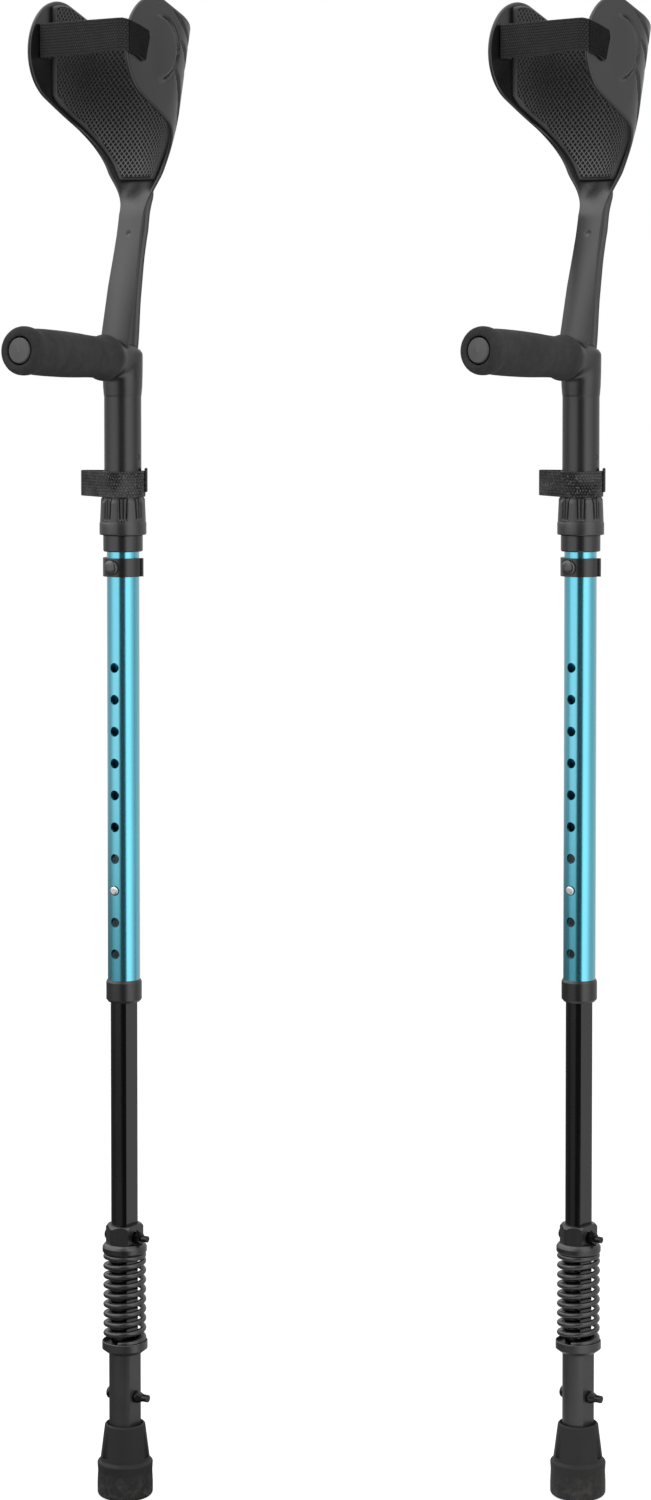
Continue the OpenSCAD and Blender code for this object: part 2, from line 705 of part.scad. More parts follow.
module upper_tube() {
    color([0.2, 0.2, 0.21]) difference() {
        translate([0, 0, fork_top]) cylinder(r = upper_r, h = upper_top - fork_top);
        translate([0, 0, fork_top - 1]) cylinder(r = upper_in_r, h = upper_top);
        translate([0, 0, rivet_z]) along_x(rivet_r + seat, -30, 30);
    }
}

// Turns Z to the handle's axis, with its zero on the tube axis
module on_handle() {
    translate([0, 0, handle_z]) rotate([90 - handle_tilt, 0, 0]) children();
}

grip_start = 21;
module handle_body() {
    color([0.19, 0.19, 0.2]) difference() {
        union() {
            rotate_extrude() polygon([
                [0, boss_z], [boss_r - 0.6, boss_z], [boss_r, boss_z + 1.2], [boss_r, boss_top - 5],
                [boss_r - 3.6, boss_top], [0, boss_top]
            ]);
            on_handle() cylinder(r = boss_neck_r, h = grip_start);
            on_handle() cylinder(r = core_r, h = core_end);
        }
        translate([0, 0, boss_z - 1]) cylinder(r = upper_r + seat, h = upper_top - boss_z + 1.1);
        translate([0, 0, boss_top - tenon_l - 0.5]) cylinder(r = tenon_r + seat, h = tenon_l + 12);
        on_handle() translate([0, 0, grip_start + 6]) cylinder(r = core_in_r, h = handle_l);
    }
}

module grip() {
    bead = handle_l - 6;
    profile = concat(
        [[core_r + seat, grip_start + 0.3], [grip_waist_r, grip_start + 0.3]],
        arc([grip_body_r - 2.4, grip_start + 4.4], 2.8, -60, 60, 6),
        [[grip_waist_r + 0.4, grip_start + 13], [grip_waist_r, grip_start + 20], [grip_body_r - 0.6, grip_start + 42],
         [grip_body_r, handle_l - 42], [grip_body_r - 0.5, handle_l - 15], [grip_body_r - 0.3, handle_l - 12.4]],
        arc([grip_end_r - 5, bead], 5, -40, 70, 8),
        [[end_cap_r + 3, handle_l - 0.2], [end_cap_r + 1.4, handle_l - 1.4], [end_cap_r + 1, core_end + 0.3],
         [core_r + seat, core_end + 0.3]]
    );
    color([0.12, 0.12, 0.13]) on_handle() rotate_extrude() polygon(profile);
}

module grip_end_cap() {
    color([0.55, 0.55, 0.56]) on_handle() rotate_extrude() polygon(concat(
        [[0, core_end - 14], [core_in_r - seat - 0.6, core_end - 14], [core_in_r - seat, core_end - 13],
         [core_in_r - seat, core_end + 0.1], [end_cap_r, core_end + 0.1]],
        arc([end_cap_r - 1.4, core_end + end_cap_t - 2], 1.4, 0, 70, 4),
        [[0, core_end + end_cap_t]]
    ));
}

// ---------------------------------------------------------------- stem and cuff

stem_front_y = -14.3;
stem_cut = 1.4;

// One flange of the stem, drawn in the leaning frame, inset from both sides
module flange(y, t, inset) {
    low = 16;
    high = (cuff_z - handle_z) / cos(stem_lean) + 18;
    w0 = stem_w / 2 - inset;
    w1 = stem_top_w / 2 - inset;
    translate([0, y + t, 0]) rotate([90, 0, 0]) linear_extrude(t)
        polygon([[-w0, low], [w0, low], [w1, high - 40], [w1, high], [-w1, high], [-w1, high - 40]]);
}

module stem() {
    depth = stem_front_t + stem_web_t + stem_rear_t;
    difference() {
        union() {
            translate([0, stem_front_y, handle_z]) rotate([-stem_lean, 0, 0]) {
                flange(0, stem_front_t + 0.01, 0);
                flange(stem_front_t, stem_web_t + 0.01, stem_groove);
                flange(stem_front_t + stem_web_t, stem_rear_t, stem_cut);
            }
            hull() {
                translate([0, 0, boss_top + 0.2]) cylinder(r = boss_r - 4, h = 0.6, $fn = 32);
                translate([0, stem_front_y, handle_z]) rotate([-stem_lean, 0, 0])
                    translate([-stem_w / 2 + 1, 0, 15]) cube([stem_w - 2, depth, 12]);
            }
        }
        on_handle() translate([0, 0, -seat]) cylinder(r = boss_neck_r + seat, h = grip_start);
    }
    translate([0, 0, boss_top - tenon_l]) cylinder(r = tenon_r, h = tenon_l + 9);
}

// Half width and rear wall of the cuff at height z
flare_top = cuff_z + cuff_flare_h;
cuff_start_w = 12.5;
cuff_start_back = 24.7;
function half_width(z) =
    z <= cuff_z ? cuff_start_w
    : z >= flare_top ? cuff_half_w
    : cuff_start_w + (cuff_half_w - cuff_start_w) * sin(90 * (z - cuff_z) / cuff_flare_h);
function back_y(z) = cuff_start_back + (z - cuff_z) * tan(cuff_lean);

// The cuff's outline from the side, in Y and Z: a round lobe, a rim that slopes
// down toward the back, and a hollow arc from the lobe down to the stem
lobe_c = [-lobe_front, cuff_z + lobe_rise];
hollow_c = [-lobe_front - hollow_ahead, cuff_z + hollow_rise];
hollow_r = norm(lobe_c - hollow_c) - lobe_r;
joint = lobe_c + (hollow_c - lobe_c) * lobe_r / norm(lobe_c - hollow_c);

// The root, on the side given, of the line z = a - s * y and a circle
function line_circle(a, s, c, r, side) =
    let (d = a - s * c[0] - c[1])
    c[0] + (d * s + side * sqrt(max(0, r * r * (1 + s * s) - d * d))) / (1 + s * s);

// The wall is built from rows that turn from level at the bottom to the rim's
// slope at the top. A row is [height at y = 0, slope, y of its front end].
function wall_row(v, low, inset, front) =
    let (
        slope = tan(rim_slope),
        rim_a = lobe_c[1] + slope * lobe_c[0] + (lobe_r - inset) / cos(rim_slope),
        a = low + (rim_a - low) * v,
        s = slope * v * v,
        on_lobe = a - s * joint[0] > joint[1],
        on_hollow = a - s * (hollow_c[0] + hollow_r) > hollow_c[1],
        y = on_lobe ? line_circle(a, s, lobe_c, lobe_r - inset, -1)
            : on_hollow ? line_circle(a, s, hollow_c, hollow_r + inset, 1)
            : hollow_c[0] + hollow_r + inset
    )
    [a, s, max(y, front)];

// How far round the U a point lies: 0 at the back, 1 at the side, more ahead of it
ahead = 60;
function turn_at(y, z, k) =
    let (w = half_width(z), y0 = back_y(z) - w)
    y <= y0 ? 1 + (y0 - y) / ahead : acos(min(1, (y - y0) / (w - k))) / 90;
function turn_y(t, z, k) =
    let (w = half_width(z), y0 = back_y(z) - w)
    t >= 1 ? y0 - (t - 1) * ahead : y0 + (w - k) * cos(90 * t);
function row_z(row, t, k, z, left = 5) =
    left == 0 ? z : row_z(row, t, k, row[0] - row[1] * turn_y(t, z, k), left - 1);
function wall_point(row, u, k) =
    let (
        end = turn_at(row[2], row[0] - row[1] * row[2], k),
        t = abs(u) * end,
        z = row_z(row, t, k, row[0]),
        r = half_width(z) - k
    )
    [sign(u) * (t >= 1 ? r : r * sin(90 * t)), turn_y(t, z, k), z];

// A wall between insets k0 and k1, from height low up to the rim
module u_wall(k0, k1, low, inset, front, steps, columns) {
    rows = [for (i = [0:steps]) wall_row(sin(90 * i / steps), low, inset, front)];
    rings = [for (row = rows) concat(
        [for (j = [columns:-1:-columns]) wall_point(row, j / columns, k0)],
        [for (j = [-columns:columns]) wall_point(row, j / columns, k1)]
    )];
    n = len(rings[0]);
    polyhedron([for (ring = rings, p = ring) p], wall_faces(len(rings), n), convexity = 8);
}

module cuff_shell() {
    color([0.2, 0.2, 0.21]) {
        stem();
        u_wall(0, cuff_wall, cuff_z - 4, 0, -2 * lobe_r, 20, 18);
    }
}

module cuff_pad() {
    k = cuff_wall + glue_film;
    color([0.13, 0.13, 0.14]) u_wall(k, k + pad_t, cuff_z + pad_rise, pad_inset, -pad_front, 14, 14);
}

// The cuff strap runs from inside the -X wing across to the outside of the +X wing
module cuff_strap() {
    z = lobe_c[1] + strap_rise - strap_w / 2;
    inner = cuff_half - soft_gap;
    outer = cuff_half_w + soft_gap;
    tip_y = lobe_c[0] - lobe_r;
    start_y = -pad_front - 3;
    sewn_y = start_y - strap_sewn;
    tail_y = tip_y + strap_tail;
    wrap_y = tip_y - 1.2;
    color([0.1, 0.1, 0.11]) translate([0, 0, z]) linear_extrude(strap_w) polygon([
        [-inner, start_y], [-inner, sewn_y], [inner - 2, wrap_y - strap_t], [outer - 1, wrap_y - strap_t],
        [outer + strap_t, wrap_y + 1], [outer + strap_t, tail_y], [outer, tail_y], [outer, wrap_y + 1],
        [outer - 1.6, wrap_y], [inner - 2, wrap_y], [strap_t - inner, sewn_y + 0.6], [strap_t - inner, start_y]
    ]);
}

// ---------------------------------------------------------------- the pair

// Middle of the pair's footprint, so that the origin is centred under the pair
pair_x = pair_gap * cos(pair_turn);
pair_y = pair_gap * sin(pair_turn);
front_reach = handle_l * cos(handle_tilt) + grip_end_r * sin(handle_tilt);
back_reach = back_y(lobe_c[1] + lobe_r * sin(90 - rim_slope) - 25);
middle = [pair_x / 2, (pair_y + back_reach - front_reach) / 2, 0];

module place(side) {
    translate((side == "left" ? [0, 0, 0] : [pair_x, pair_y, 0]) - middle)
        rotate([0, 0, side == "left" ? toe_in : -toe_in]) children();
}

for (side = SIDES) place(side) {
    ferrule();
    ferrule_washer();
    foot_tube();
    travel_bolt();
    travel_nut();
    spring_bottom_seat();
    coil_spring();
    spring_top_seat();
    seat_bolt();
    seat_nut();
    height_tube();
    height_button();
    tube_bushing();
    main_tube();
    tube_clip();
    hinge_knuckle();
    hinge_pin();
    hinge_fork();
    fork_rivet();
    lock_collar();
    storage_strap();
    upper_tube();
    handle_body();
    grip();
    grip_end_cap();
    cuff_shell();
    cuff_pad();
    cuff_strap();
}
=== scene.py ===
"""Looks for a pair of folding forearm crutches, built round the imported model.

Every crutch is worked out about its own tube, in millimetres: the tube stands
on Z, the handle and the open side of the cuff face -Y, and bolts cross along X.
"""
import math

import bmesh
import bpy
import numpy as np
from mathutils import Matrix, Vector


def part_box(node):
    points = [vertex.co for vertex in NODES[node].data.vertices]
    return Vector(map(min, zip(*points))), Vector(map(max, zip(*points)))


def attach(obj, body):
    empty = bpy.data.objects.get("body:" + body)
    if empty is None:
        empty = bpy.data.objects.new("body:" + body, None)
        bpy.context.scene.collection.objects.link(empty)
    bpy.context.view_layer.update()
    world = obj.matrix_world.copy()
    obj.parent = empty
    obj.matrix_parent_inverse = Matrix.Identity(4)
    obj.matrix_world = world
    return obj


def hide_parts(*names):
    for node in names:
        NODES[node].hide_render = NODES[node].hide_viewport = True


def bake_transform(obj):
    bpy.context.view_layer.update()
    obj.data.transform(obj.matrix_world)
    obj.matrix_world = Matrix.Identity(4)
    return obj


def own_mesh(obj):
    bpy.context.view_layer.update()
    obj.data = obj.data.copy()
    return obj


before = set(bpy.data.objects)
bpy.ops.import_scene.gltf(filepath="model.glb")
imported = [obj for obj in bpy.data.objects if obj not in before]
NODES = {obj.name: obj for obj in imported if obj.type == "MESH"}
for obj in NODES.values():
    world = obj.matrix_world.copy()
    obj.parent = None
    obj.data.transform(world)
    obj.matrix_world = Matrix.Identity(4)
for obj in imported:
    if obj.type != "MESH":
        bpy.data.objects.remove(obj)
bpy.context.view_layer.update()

SIDES = ("left", "right")
# Each crutch is turned about its own tube, toward the other one
TURN = {"left": math.radians(3.7), "right": math.radians(-3.7)}


def foot_middle(side):
    """Where the axis of a crutch's tube meets the floor, in metres."""
    low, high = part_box(side + "_ferrule_washer")
    middle = (low + high) / 2
    return np.array([middle.x, middle.y, 0.0])


ORIGIN = {side: foot_middle(side) for side in SIDES}


def placed(side, points):
    """A crutch's own millimetres as the model's metres."""
    x, y, z = np.asarray(points, float).T
    c, s = math.cos(TURN[side]), math.sin(TURN[side])
    return np.stack([x * c - y * s, x * s + y * c, z], 1) * 0.001 + ORIGIN[side]


def unplaced(side, point):
    """One of the model's points, in metres, as the crutch's own millimetres."""
    east, north, z = (np.array(point) - ORIGIN[side]) * 1000
    c, s = math.cos(TURN[side]), math.sin(TURN[side])
    return east * c + north * s, north * c - east * s, z


# ---- node graphs

class Wire:
    """One value in a node graph. Arithmetic on it adds Math nodes."""

    def __init__(self, graph, socket):
        self.graph = graph
        self.socket = socket

    def math(self, operation, *values):
        return self.graph.add("ShaderNodeMath", {"operation": operation}, dict(enumerate(values)))

    def __add__(self, other):
        return self.math("ADD", self, other)

    def __sub__(self, other):
        return self.math("SUBTRACT", self, other)

    def __rsub__(self, other):
        return self.math("SUBTRACT", other, self)

    def __mul__(self, other):
        return self.math("MULTIPLY", self, other)

    __radd__ = __add__
    __rmul__ = __mul__

    def fract(self):
        return self.math("FRACT", self)

    def abs(self):
        return self.math("ABSOLUTE", self)

    def most(self, other):
        return self.math("MAXIMUM", self, other)

    def ramp(self, low, high, start=0.0, end=1.0):
        """Turns smoothly from start to end as the value goes from low to high."""
        return self.graph.add("ShaderNodeMapRange", {"interpolation_type": "SMOOTHSTEP"},
                              {0: self, 1: low, 2: high, 3: start, 4: end})

    def siblings(self):
        """Every output of the node that this value comes from."""
        return [Wire(self.graph, socket) for socket in self.socket.node.outputs]


class Graph:
    """A node tree that is written as expressions."""

    def __init__(self, tree):
        self.tree = tree

    def add(self, kind, settings=None, values=None, out=0):
        """Adds a node: its settings come first, then its sockets, by index or name."""
        node = self.tree.nodes.new(kind)
        for name, value in (settings or {}).items():
            setattr(node, name, value)
        for key, value in (values or {}).items():
            if isinstance(value, Wire):
                self.tree.links.new(value.socket, node.inputs[key])
            else:
                node.inputs[key].default_value = value
        return Wire(self, node.outputs[out]) if node.outputs else None

    def place(self, scale=(1, 1, 1), source="Object"):
        """Object coordinates in metres, or the piece's own map, stretched by scale."""
        start = self.add("ShaderNodeTexCoord", out=source)
        return self.add("ShaderNodeMapping", None, {"Vector": start, "Scale": scale})

    def parts(self, vector):
        return self.add("ShaderNodeSeparateXYZ", None, {0: vector}).siblings()

    def noise(self, size, detail=3.0, rough=0.5, stretch=(1, 1, 1)):
        """Noise whose patches are about size millimetres wide."""
        return self.add("ShaderNodeTexNoise", None, {
            "Vector": self.place(stretch), "Scale": 1000.0 / size, "Detail": detail, "Roughness": rough})

    def cells(self, size):
        """Distance to the nearest of points strewn about size millimetres apart."""
        return self.add("ShaderNodeTexVoronoi", {"feature": "F1"}, {
            "Vector": self.place(), "Scale": 1000.0 / size})

    def mix(self, factor, a, b):
        return self.add("ShaderNodeMix", {"data_type": "RGBA"}, {0: factor, 6: a, 7: b}, out=2)

    def bump(self, height, depth, normal=None):
        """A bump of depth millimetres where height goes from 0 to 1."""
        values = {"Height": height, "Distance": depth / 1000.0, "Strength": 1.0}
        if normal is not None:
            values["Normal"] = normal
        return self.add("ShaderNodeBump", None, values)


def empty_graph(holder):
    """The node graph of a material or a world, with nothing in it."""
    holder.use_nodes = True
    holder.node_tree.nodes.clear()
    return Graph(holder.node_tree)


def grey(value, warm=0.0):
    return (value * (1 + warm), value, value * (1 - warm), 1.0)


def tint(colour, share):
    return (colour[0] * share, colour[1] * share, colour[2] * share, 1.0)


def material(name, recipe, **fixed):
    """A Principled material. The recipe gives what varies; fixed gives plain values."""
    made = bpy.data.materials.new(name)
    graph = empty_graph(made)
    shader = graph.add("ShaderNodeBsdfPrincipled", None, {**fixed, **recipe(graph)})
    graph.add("ShaderNodeOutputMaterial", None, {"Surface": shader})
    return made


# ---- finishes

def moulded(base, rough, grain=0.45, scuffs=0.35):
    """Satin moulded plastic: fine spark texture, faint flow marks and rubbed spots."""
    def recipe(g):
        flow = g.noise(38, 3, stretch=(1, 1, 0.35))
        rub = g.noise(9, 6, 0.65).ramp(0.58, 0.76) * scuffs
        tone = g.mix(flow.ramp(0.3, 0.7), grey(base * 0.88), grey(base * 1.12))
        return {
            "Base Color": g.mix(rub, tone, grey(base * 1.5)),
            "Roughness": flow.ramp(0.3, 0.7, rough - 0.04, rough + 0.05) + rub * 0.12,
            "Normal": g.bump(g.noise(grain, 2), 0.02),
        }
    return recipe


def powder(base, rough):
    """Satin powder coat: orange peel and a few dull rubs along the tube."""
    def recipe(g):
        peel = g.noise(1.3, 2)
        rub = g.noise(7, 5, 0.6, stretch=(1, 1, 0.12)).ramp(0.6, 0.8)
        tone = g.mix(g.noise(30, 2).ramp(0.3, 0.7), grey(base * 0.85), grey(base * 1.15))
        return {
            "Base Color": g.mix(rub * 0.4, tone, grey(base * 2.2)),
            "Roughness": peel.ramp(0.3, 0.7, rough - 0.03, rough + 0.03) + rub * 0.1,
            "Normal": g.bump(peel, 0.012),
        }
    return recipe


def anodised(colour):
    """Polished and anodised tube: drawn lines along Z and hair scratches."""
    def recipe(g):
        drawn = g.noise(0.6, 3, 0.6, stretch=(1, 1, 0.006))
        cloud = g.noise(60, 2, stretch=(1, 1, 0.3))
        hair = g.noise(2.2, 8, 0.75, stretch=(1, 1, 0.04)).ramp(0.66, 0.7)
        tone = g.mix(cloud.ramp(0.3, 0.7), tint(colour, 0.95), tint(colour, 1.05))
        return {
            "Base Color": g.mix(hair * 0.25, tone, tint(colour, 1.6)),
            "Roughness": drawn.ramp(0.3, 0.7, 0.17, 0.24) + hair * 0.08,
            "Normal": g.bump(drawn, 0.0012),
        }
    return recipe


def plated(base, rough):
    """Zinc plate: a fine crystal grain and dull spots."""
    def recipe(g):
        fine = g.noise(0.5, 4, 0.6)
        dull = g.noise(4, 4).ramp(0.5, 0.75)
        return {
            "Base Color": g.mix(dull, grey(base), grey(base * 0.75, 0.03)),
            "Roughness": fine.ramp(0.3, 0.7, rough, rough + 0.08) + dull * 0.12,
            "Normal": g.bump(fine, 0.004),
        }
    return recipe


def rubber(g):
    """Matt rubber with a fine grain and a bloom, dusty toward the ground."""
    height = g.parts(g.place())[2]
    dust = height.ramp(0.0, 0.03, 1.0, 0.0) * g.noise(6, 6, 0.7).ramp(0.42, 0.7)
    bloom = g.noise(25, 3).ramp(0.3, 0.75)
    tone = g.mix(bloom, grey(0.013), grey(0.019))
    return {
        "Base Color": g.mix(dust * 0.5, tone, grey(0.11, 0.05)),
        "Roughness": bloom.ramp(0, 1, 0.62, 0.74) + dust * 0.2,
        "Normal": g.bump(g.noise(0.5, 3), 0.03),
    }


def foam(g):
    """Dense soft foam: open pores, faint mottling and a palm polish."""
    pores = g.cells(0.75)
    mottle = g.noise(7, 5, 0.6)
    polish = g.noise(30, 2).ramp(0.35, 0.7)
    tone = g.mix(mottle.ramp(0.35, 0.65), grey(0.023), grey(0.031))
    return {
        "Base Color": g.mix(pores.ramp(0.0, 0.35, 0.45, 0.0), tone, grey(0.014)),
        "Roughness": polish * -0.12 + 0.9,
        "Normal": g.bump(mottle, 0.05, g.bump(pores, 0.05)),
    }


def webbing(pitch, low, high, hooks=False):
    """Woven or hooked nylon, on a map whose U runs along the strap in metres."""
    def recipe(g):
        u, v, _ = g.parts(g.place(source="UV"))
        across = v * (1000.0 / pitch)
        along = u * (1000.0 / pitch)
        row = across.math("FLOOR", across)
        rib = ((along + row * 0.5).fract() - 0.5).abs() * 2.0
        yarn = (across.fract() - 0.5).abs() * 2.0
        weave = (1 - rib * rib) * (1 - yarn * yarn)
        fuzz = g.noise(0.35, 4, 0.7)
        if hooks:
            weave = weave * 0.4 + g.noise(1.5, 3, 0.8).ramp(0.56, 0.66)
        worn = g.noise(16, 4).ramp(0.4, 0.75)
        tone = g.mix(weave.ramp(0.1, 0.95), grey(low), grey(high))
        return {
            "Base Color": g.mix(worn * 0.2, tone, grey(high * 1.25)),
            "Roughness": fuzz.ramp(0.3, 0.7, 0.7, 0.9),
            "Normal": g.bump(weave, 0.4, g.bump(fuzz, 0.05)),
        }
    return recipe


NET_ACROSS = 4.7
NET_UP = 4.9


def netting(g):
    """Soft perforated rubber: a diagonal net round lozenge holes, plain at the border,
    with painted shade that makes the net darker toward the top."""
    u, v, edge = g.parts(g.add("ShaderNodeAttribute", {"attribute_name": "pad_place"}, out="Vector"))
    p = u * (1000.0 / NET_ACROSS)
    q = v * (1000.0 / NET_UP)
    one = ((p + q).fract() - 0.5).abs() * 2.0
    two = ((p - q).fract() - 0.5).abs() * 2.0
    cord = one.most(two)
    field = edge.ramp(0.0034, 0.004)
    hole = cord.ramp(0.66, 0.76, 1.0, 0.0) * field
    crown = (1 - cord) * field
    cloth = g.noise(0.5, 4, 0.6)
    plain = g.mix(g.noise(20, 3).ramp(0.3, 0.7), grey(0.04), grey(0.05))
    # Painted shade: the net's colour fades to half toward the top of the pad, under the strap
    painted_shade = g.parts(g.place())[2].ramp(1.045, 1.13, 1.0, 0.5)
    net = g.mix(field, plain, g.mix(painted_shade, grey(0.0), grey(0.15)))
    return {
        "Base Color": g.mix(hole, net, grey(0.002)),
        "Roughness": hole * 0.3 + 0.5 + cloth * 0.1,
        "Normal": g.bump(hole * -1.0 - crown * 0.3, 0.5, g.bump(cloth, 0.02)),
    }


TEAL = (0.1, 0.53, 0.68)
LACQUER = {"Coat Weight": 1.0, "Coat Roughness": 0.08, "Coat IOR": 1.7}
FINISH = {
    "moulding": material("satin_moulding", moulded(0.024, 0.33), IOR=1.6),
    "cuff": material("cuff_moulding", moulded(0.011, 0.3, grain=0.6), IOR=1.6),
    "handle": material("handle_moulding", moulded(0.011, 0.3), IOR=1.6),
    "knuckle": material("knuckle_moulding", moulded(0.012, 0.28), IOR=1.6),
    "clip": material("clip_moulding", moulded(0.01, 0.3), IOR=1.6),
    "clip_head": material("clip_head_moulding", moulded(0.03, 0.26), IOR=1.7),
    "cap": material("end_cap_plastic", moulded(0.07, 0.3, scuffs=0.5)),
    "thread": material("black_thread", moulded(0.05, 0.6, grain=0.2)),
    "black_tube": material("satin_black_tube", powder(0.011, 0.28), IOR=1.6),
    "gloss_tube": material("gloss_black_tube", powder(0.002, 0.16), IOR=1.6),
    "foot_tube": material("foot_tube_coat", powder(0.026, 0.4), IOR=1.55),
    "black_steel": material("blacked_steel", powder(0.003, 0.24), IOR=1.42),
    "spring": material("coated_spring_wire", powder(0.02, 0.28), IOR=1.6),
    "teal": material("teal_anodised", anodised(TEAL), Metallic=0.95, **LACQUER),
    "zinc": material("zinc_plate", plated(0.72, 0.2), Metallic=1.0),
    "rubber": material("ferrule_rubber", rubber, **{"Specular IOR Level": 0.36}),
    "foam": material("grip_foam", foam, **{"Specular IOR Level": 0.4}),
    "web": material("woven_webbing", webbing(2.2, 0.005, 0.036),
                    **{"Specular IOR Level": 0.22, "Sheen Weight": 0.1}),
    "hook_tape": material("ribbed_hook_tape", webbing(1.4, 0.0015, 0.02),
                          **{"Specular IOR Level": 0.12}),
    "hook_web": material("hooked_webbing", webbing(2.3, 0.001, 0.2, hooks=True),
                         **{"Specular IOR Level": 0.25, "Sheen Weight": 0.1}),
    "pad": material("perforated_pad", netting),
}


# ---- meshes

def shown(name, data):
    """A new object in the scene."""
    made = bpy.data.objects.new(name, data)
    bpy.context.scene.collection.objects.link(made)
    return made


def shade(mesh, soft):
    mesh.polygons.foreach_set("use_smooth", [soft] * len(mesh.polygons))
    mesh.update()


def piece(name, side, points, faces, finish, edges=()):
    """A mesh object from points in the crutch's own millimetres. Its side leads its name."""
    mesh = bpy.data.meshes.new(side + "_" + name)
    mesh.from_pydata(placed(side, points).tolist(), edges, [list(map(int, face)) for face in faces])
    mesh.materials.append(FINISH[finish])
    shade(mesh, True)
    return shown(mesh.name, mesh)


def grid(start, rows, n):
    """Point numbers of a sheet whose rows have n points each."""
    return np.arange(start, start + rows * n).reshape(rows, n)


def sheet_faces(rows, closed=True, flip=False):
    """Quads between rows of point numbers, which run round when they are closed."""
    faces = []
    for one, two in zip(rows, rows[1:]):
        n = len(one)
        for j in range(n if closed else n - 1):
            k = (j + 1) % n
            quad = [one[j], one[k], two[k], two[j]]
            faces.append(quad[::-1] if flip else quad)
    return faces


def rod_faces(rings):
    """Quads round a rod of rings of point numbers, and its two ends."""
    return sheet_faces(rings) + [list(rings[0])[::-1], list(rings[-1])]


def sheet_edge(rows, closed=False):
    """What borders a sheet: up its left end, along its top, down its right end,
    and back along its foot when it is closed."""
    edge = [row[0] for row in rows] + list(rows[-1][1:]) + [row[-1] for row in rows[-2::-1]]
    return edge + list(rows[0][-2:0:-1]) if closed else edge


def arc(centre, radius, a, b, n):
    """Points round a centre, from a to b degrees in n steps."""
    angles = np.radians(np.linspace(a, b, n + 1))
    return [(centre[0] + radius * math.cos(t), centre[1] + radius * math.sin(t)) for t in angles]


def turned(name, side, profile, finish, sides=96, axis=None, radius=None):
    """A lathe piece from a closed (radius, height) profile. radius changes a point's
    radius from its height and angle, and axis turns the piece to its own axis."""
    n = len(profile)
    points = []
    faces = []
    for j in range(sides):
        a = 2 * math.pi * j / sides
        k = (j + 1) % sides
        for i, (r, z) in enumerate(profile):
            m = (i + 1) % n
            reach = r if radius is None else radius(r, z, a)
            points.append((reach * math.cos(a), reach * math.sin(a), z))
            faces.append([j * n + i, k * n + i, k * n + m, j * n + m])
    points = np.array(points)
    if axis is not None:
        points = axis(points)
    return piece(name, side, points, faces, finish)


class Edited:
    """A mesh that is opened for editing and written back at the end."""

    def __init__(self, mesh):
        self.mesh = mesh

    def __enter__(self):
        self.work = bmesh.new()
        self.work.from_mesh(self.mesh)
        return self.work

    def __exit__(self, *error):
        self.work.to_mesh(self.mesh)
        self.work.free()


def tidy(made, distance=1e-6):
    """Merges doubled points and makes every face look outward."""
    with Edited(made.data) as work:
        bmesh.ops.remove_doubles(work, verts=work.verts, dist=distance)
        bmesh.ops.dissolve_degenerate(work, edges=work.edges, dist=1e-8)
        bmesh.ops.recalc_face_normals(work, faces=work.faces)
    shade(made.data, True)
    return made


def made_plain(made):
    """Keeps what a piece's modifiers make as its plain mesh."""
    bpy.context.view_layer.update()
    seen = made.evaluated_get(bpy.context.evaluated_depsgraph_get())
    mesh = bpy.data.meshes.new_from_object(seen)
    made.modifiers.clear()
    made.data = mesh
    return made


def finished(made, side, body, slot, *nodes):
    """Puts a piece on the body it rides on and hides the nodes it stands for; slot is not used."""
    if nodes:
        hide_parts(*[side + "_" + node for node in nodes])
    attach(made, side + "_" + body)


# ---- grown pieces

def geometry_tree(name, sizes):
    """A new tree whose inputs are its geometry, the named sizes and a material."""
    tree = bpy.data.node_groups.new(name, "GeometryNodeTree")
    tree.interface.new_socket("Geometry", in_out="INPUT", socket_type="NodeSocketGeometry")
    tree.interface.new_socket("Geometry", in_out="OUTPUT", socket_type="NodeSocketGeometry")
    for key, value in sizes.items():
        made = tree.interface.new_socket(key, in_out="INPUT", socket_type="NodeSocketFloat")
        made.default_value = value
    tree.interface.new_socket("Material", in_out="INPUT", socket_type="NodeSocketMaterial")
    graph = Graph(tree)
    given = {wire.socket.name: wire for wire in graph.add("NodeGroupInput").siblings()}
    return graph, given


def end_tree(graph, shape, finish):
    """Every tree ends in Realize Instances and Set Material."""
    real = graph.add("GeometryNodeRealizeInstances", None, {0: shape})
    dressed = graph.add("GeometryNodeSetMaterial", None, {"Geometry": real, "Material": finish})
    graph.add("NodeGroupOutput", None, {0: dressed})
    return graph.tree


def wire_tree():
    """Round wire along a run of points."""
    g, given = geometry_tree("round_wire", {"Wire Radius": 0.002, "Sides": 16.0})
    line = g.add("GeometryNodeMeshToCurve", None, {0: given["Geometry"]})
    profile = g.add("GeometryNodeCurvePrimitiveCircle", None, {
        "Resolution": given["Sides"], "Radius": given["Wire Radius"]})
    tube = g.add("GeometryNodeCurveToMesh", None, {
        "Curve": line, "Profile Curve": profile, "Fill Caps": True})
    soft = g.add("GeometryNodeSetShadeSmooth", None, {"Geometry": tube, "Shade Smooth": True})
    return end_tree(g, soft, given["Material"])


def stitch_tree():
    """Stitches of one length, one pitch apart, along a run of points."""
    g, given = geometry_tree("stitch_run", {
        "Pitch": 0.0022, "Stitch Length": 0.0017, "Thread Radius": 0.00035})
    line = g.add("GeometryNodeMeshToCurve", None, {0: given["Geometry"]})
    spaced = g.add("GeometryNodeResampleCurve", {"mode": "LENGTH"}, {
        "Curve": line, "Length": given["Pitch"]})
    tangent = g.add("GeometryNodeInputTangent")
    turn = g.add("FunctionNodeAlignRotationToVector", {"axis": "Z"}, {"Vector": tangent})
    stitch = g.add("GeometryNodeMeshCylinder", None, {
        "Vertices": 6, "Radius": given["Thread Radius"], "Depth": given["Stitch Length"]})
    run = g.add("GeometryNodeInstanceOnPoints", None, {
        "Points": spaced, "Instance": stitch, "Rotation": turn})
    return end_tree(g, run, given["Material"])


WIRE = wire_tree()
STITCH = stitch_tree()


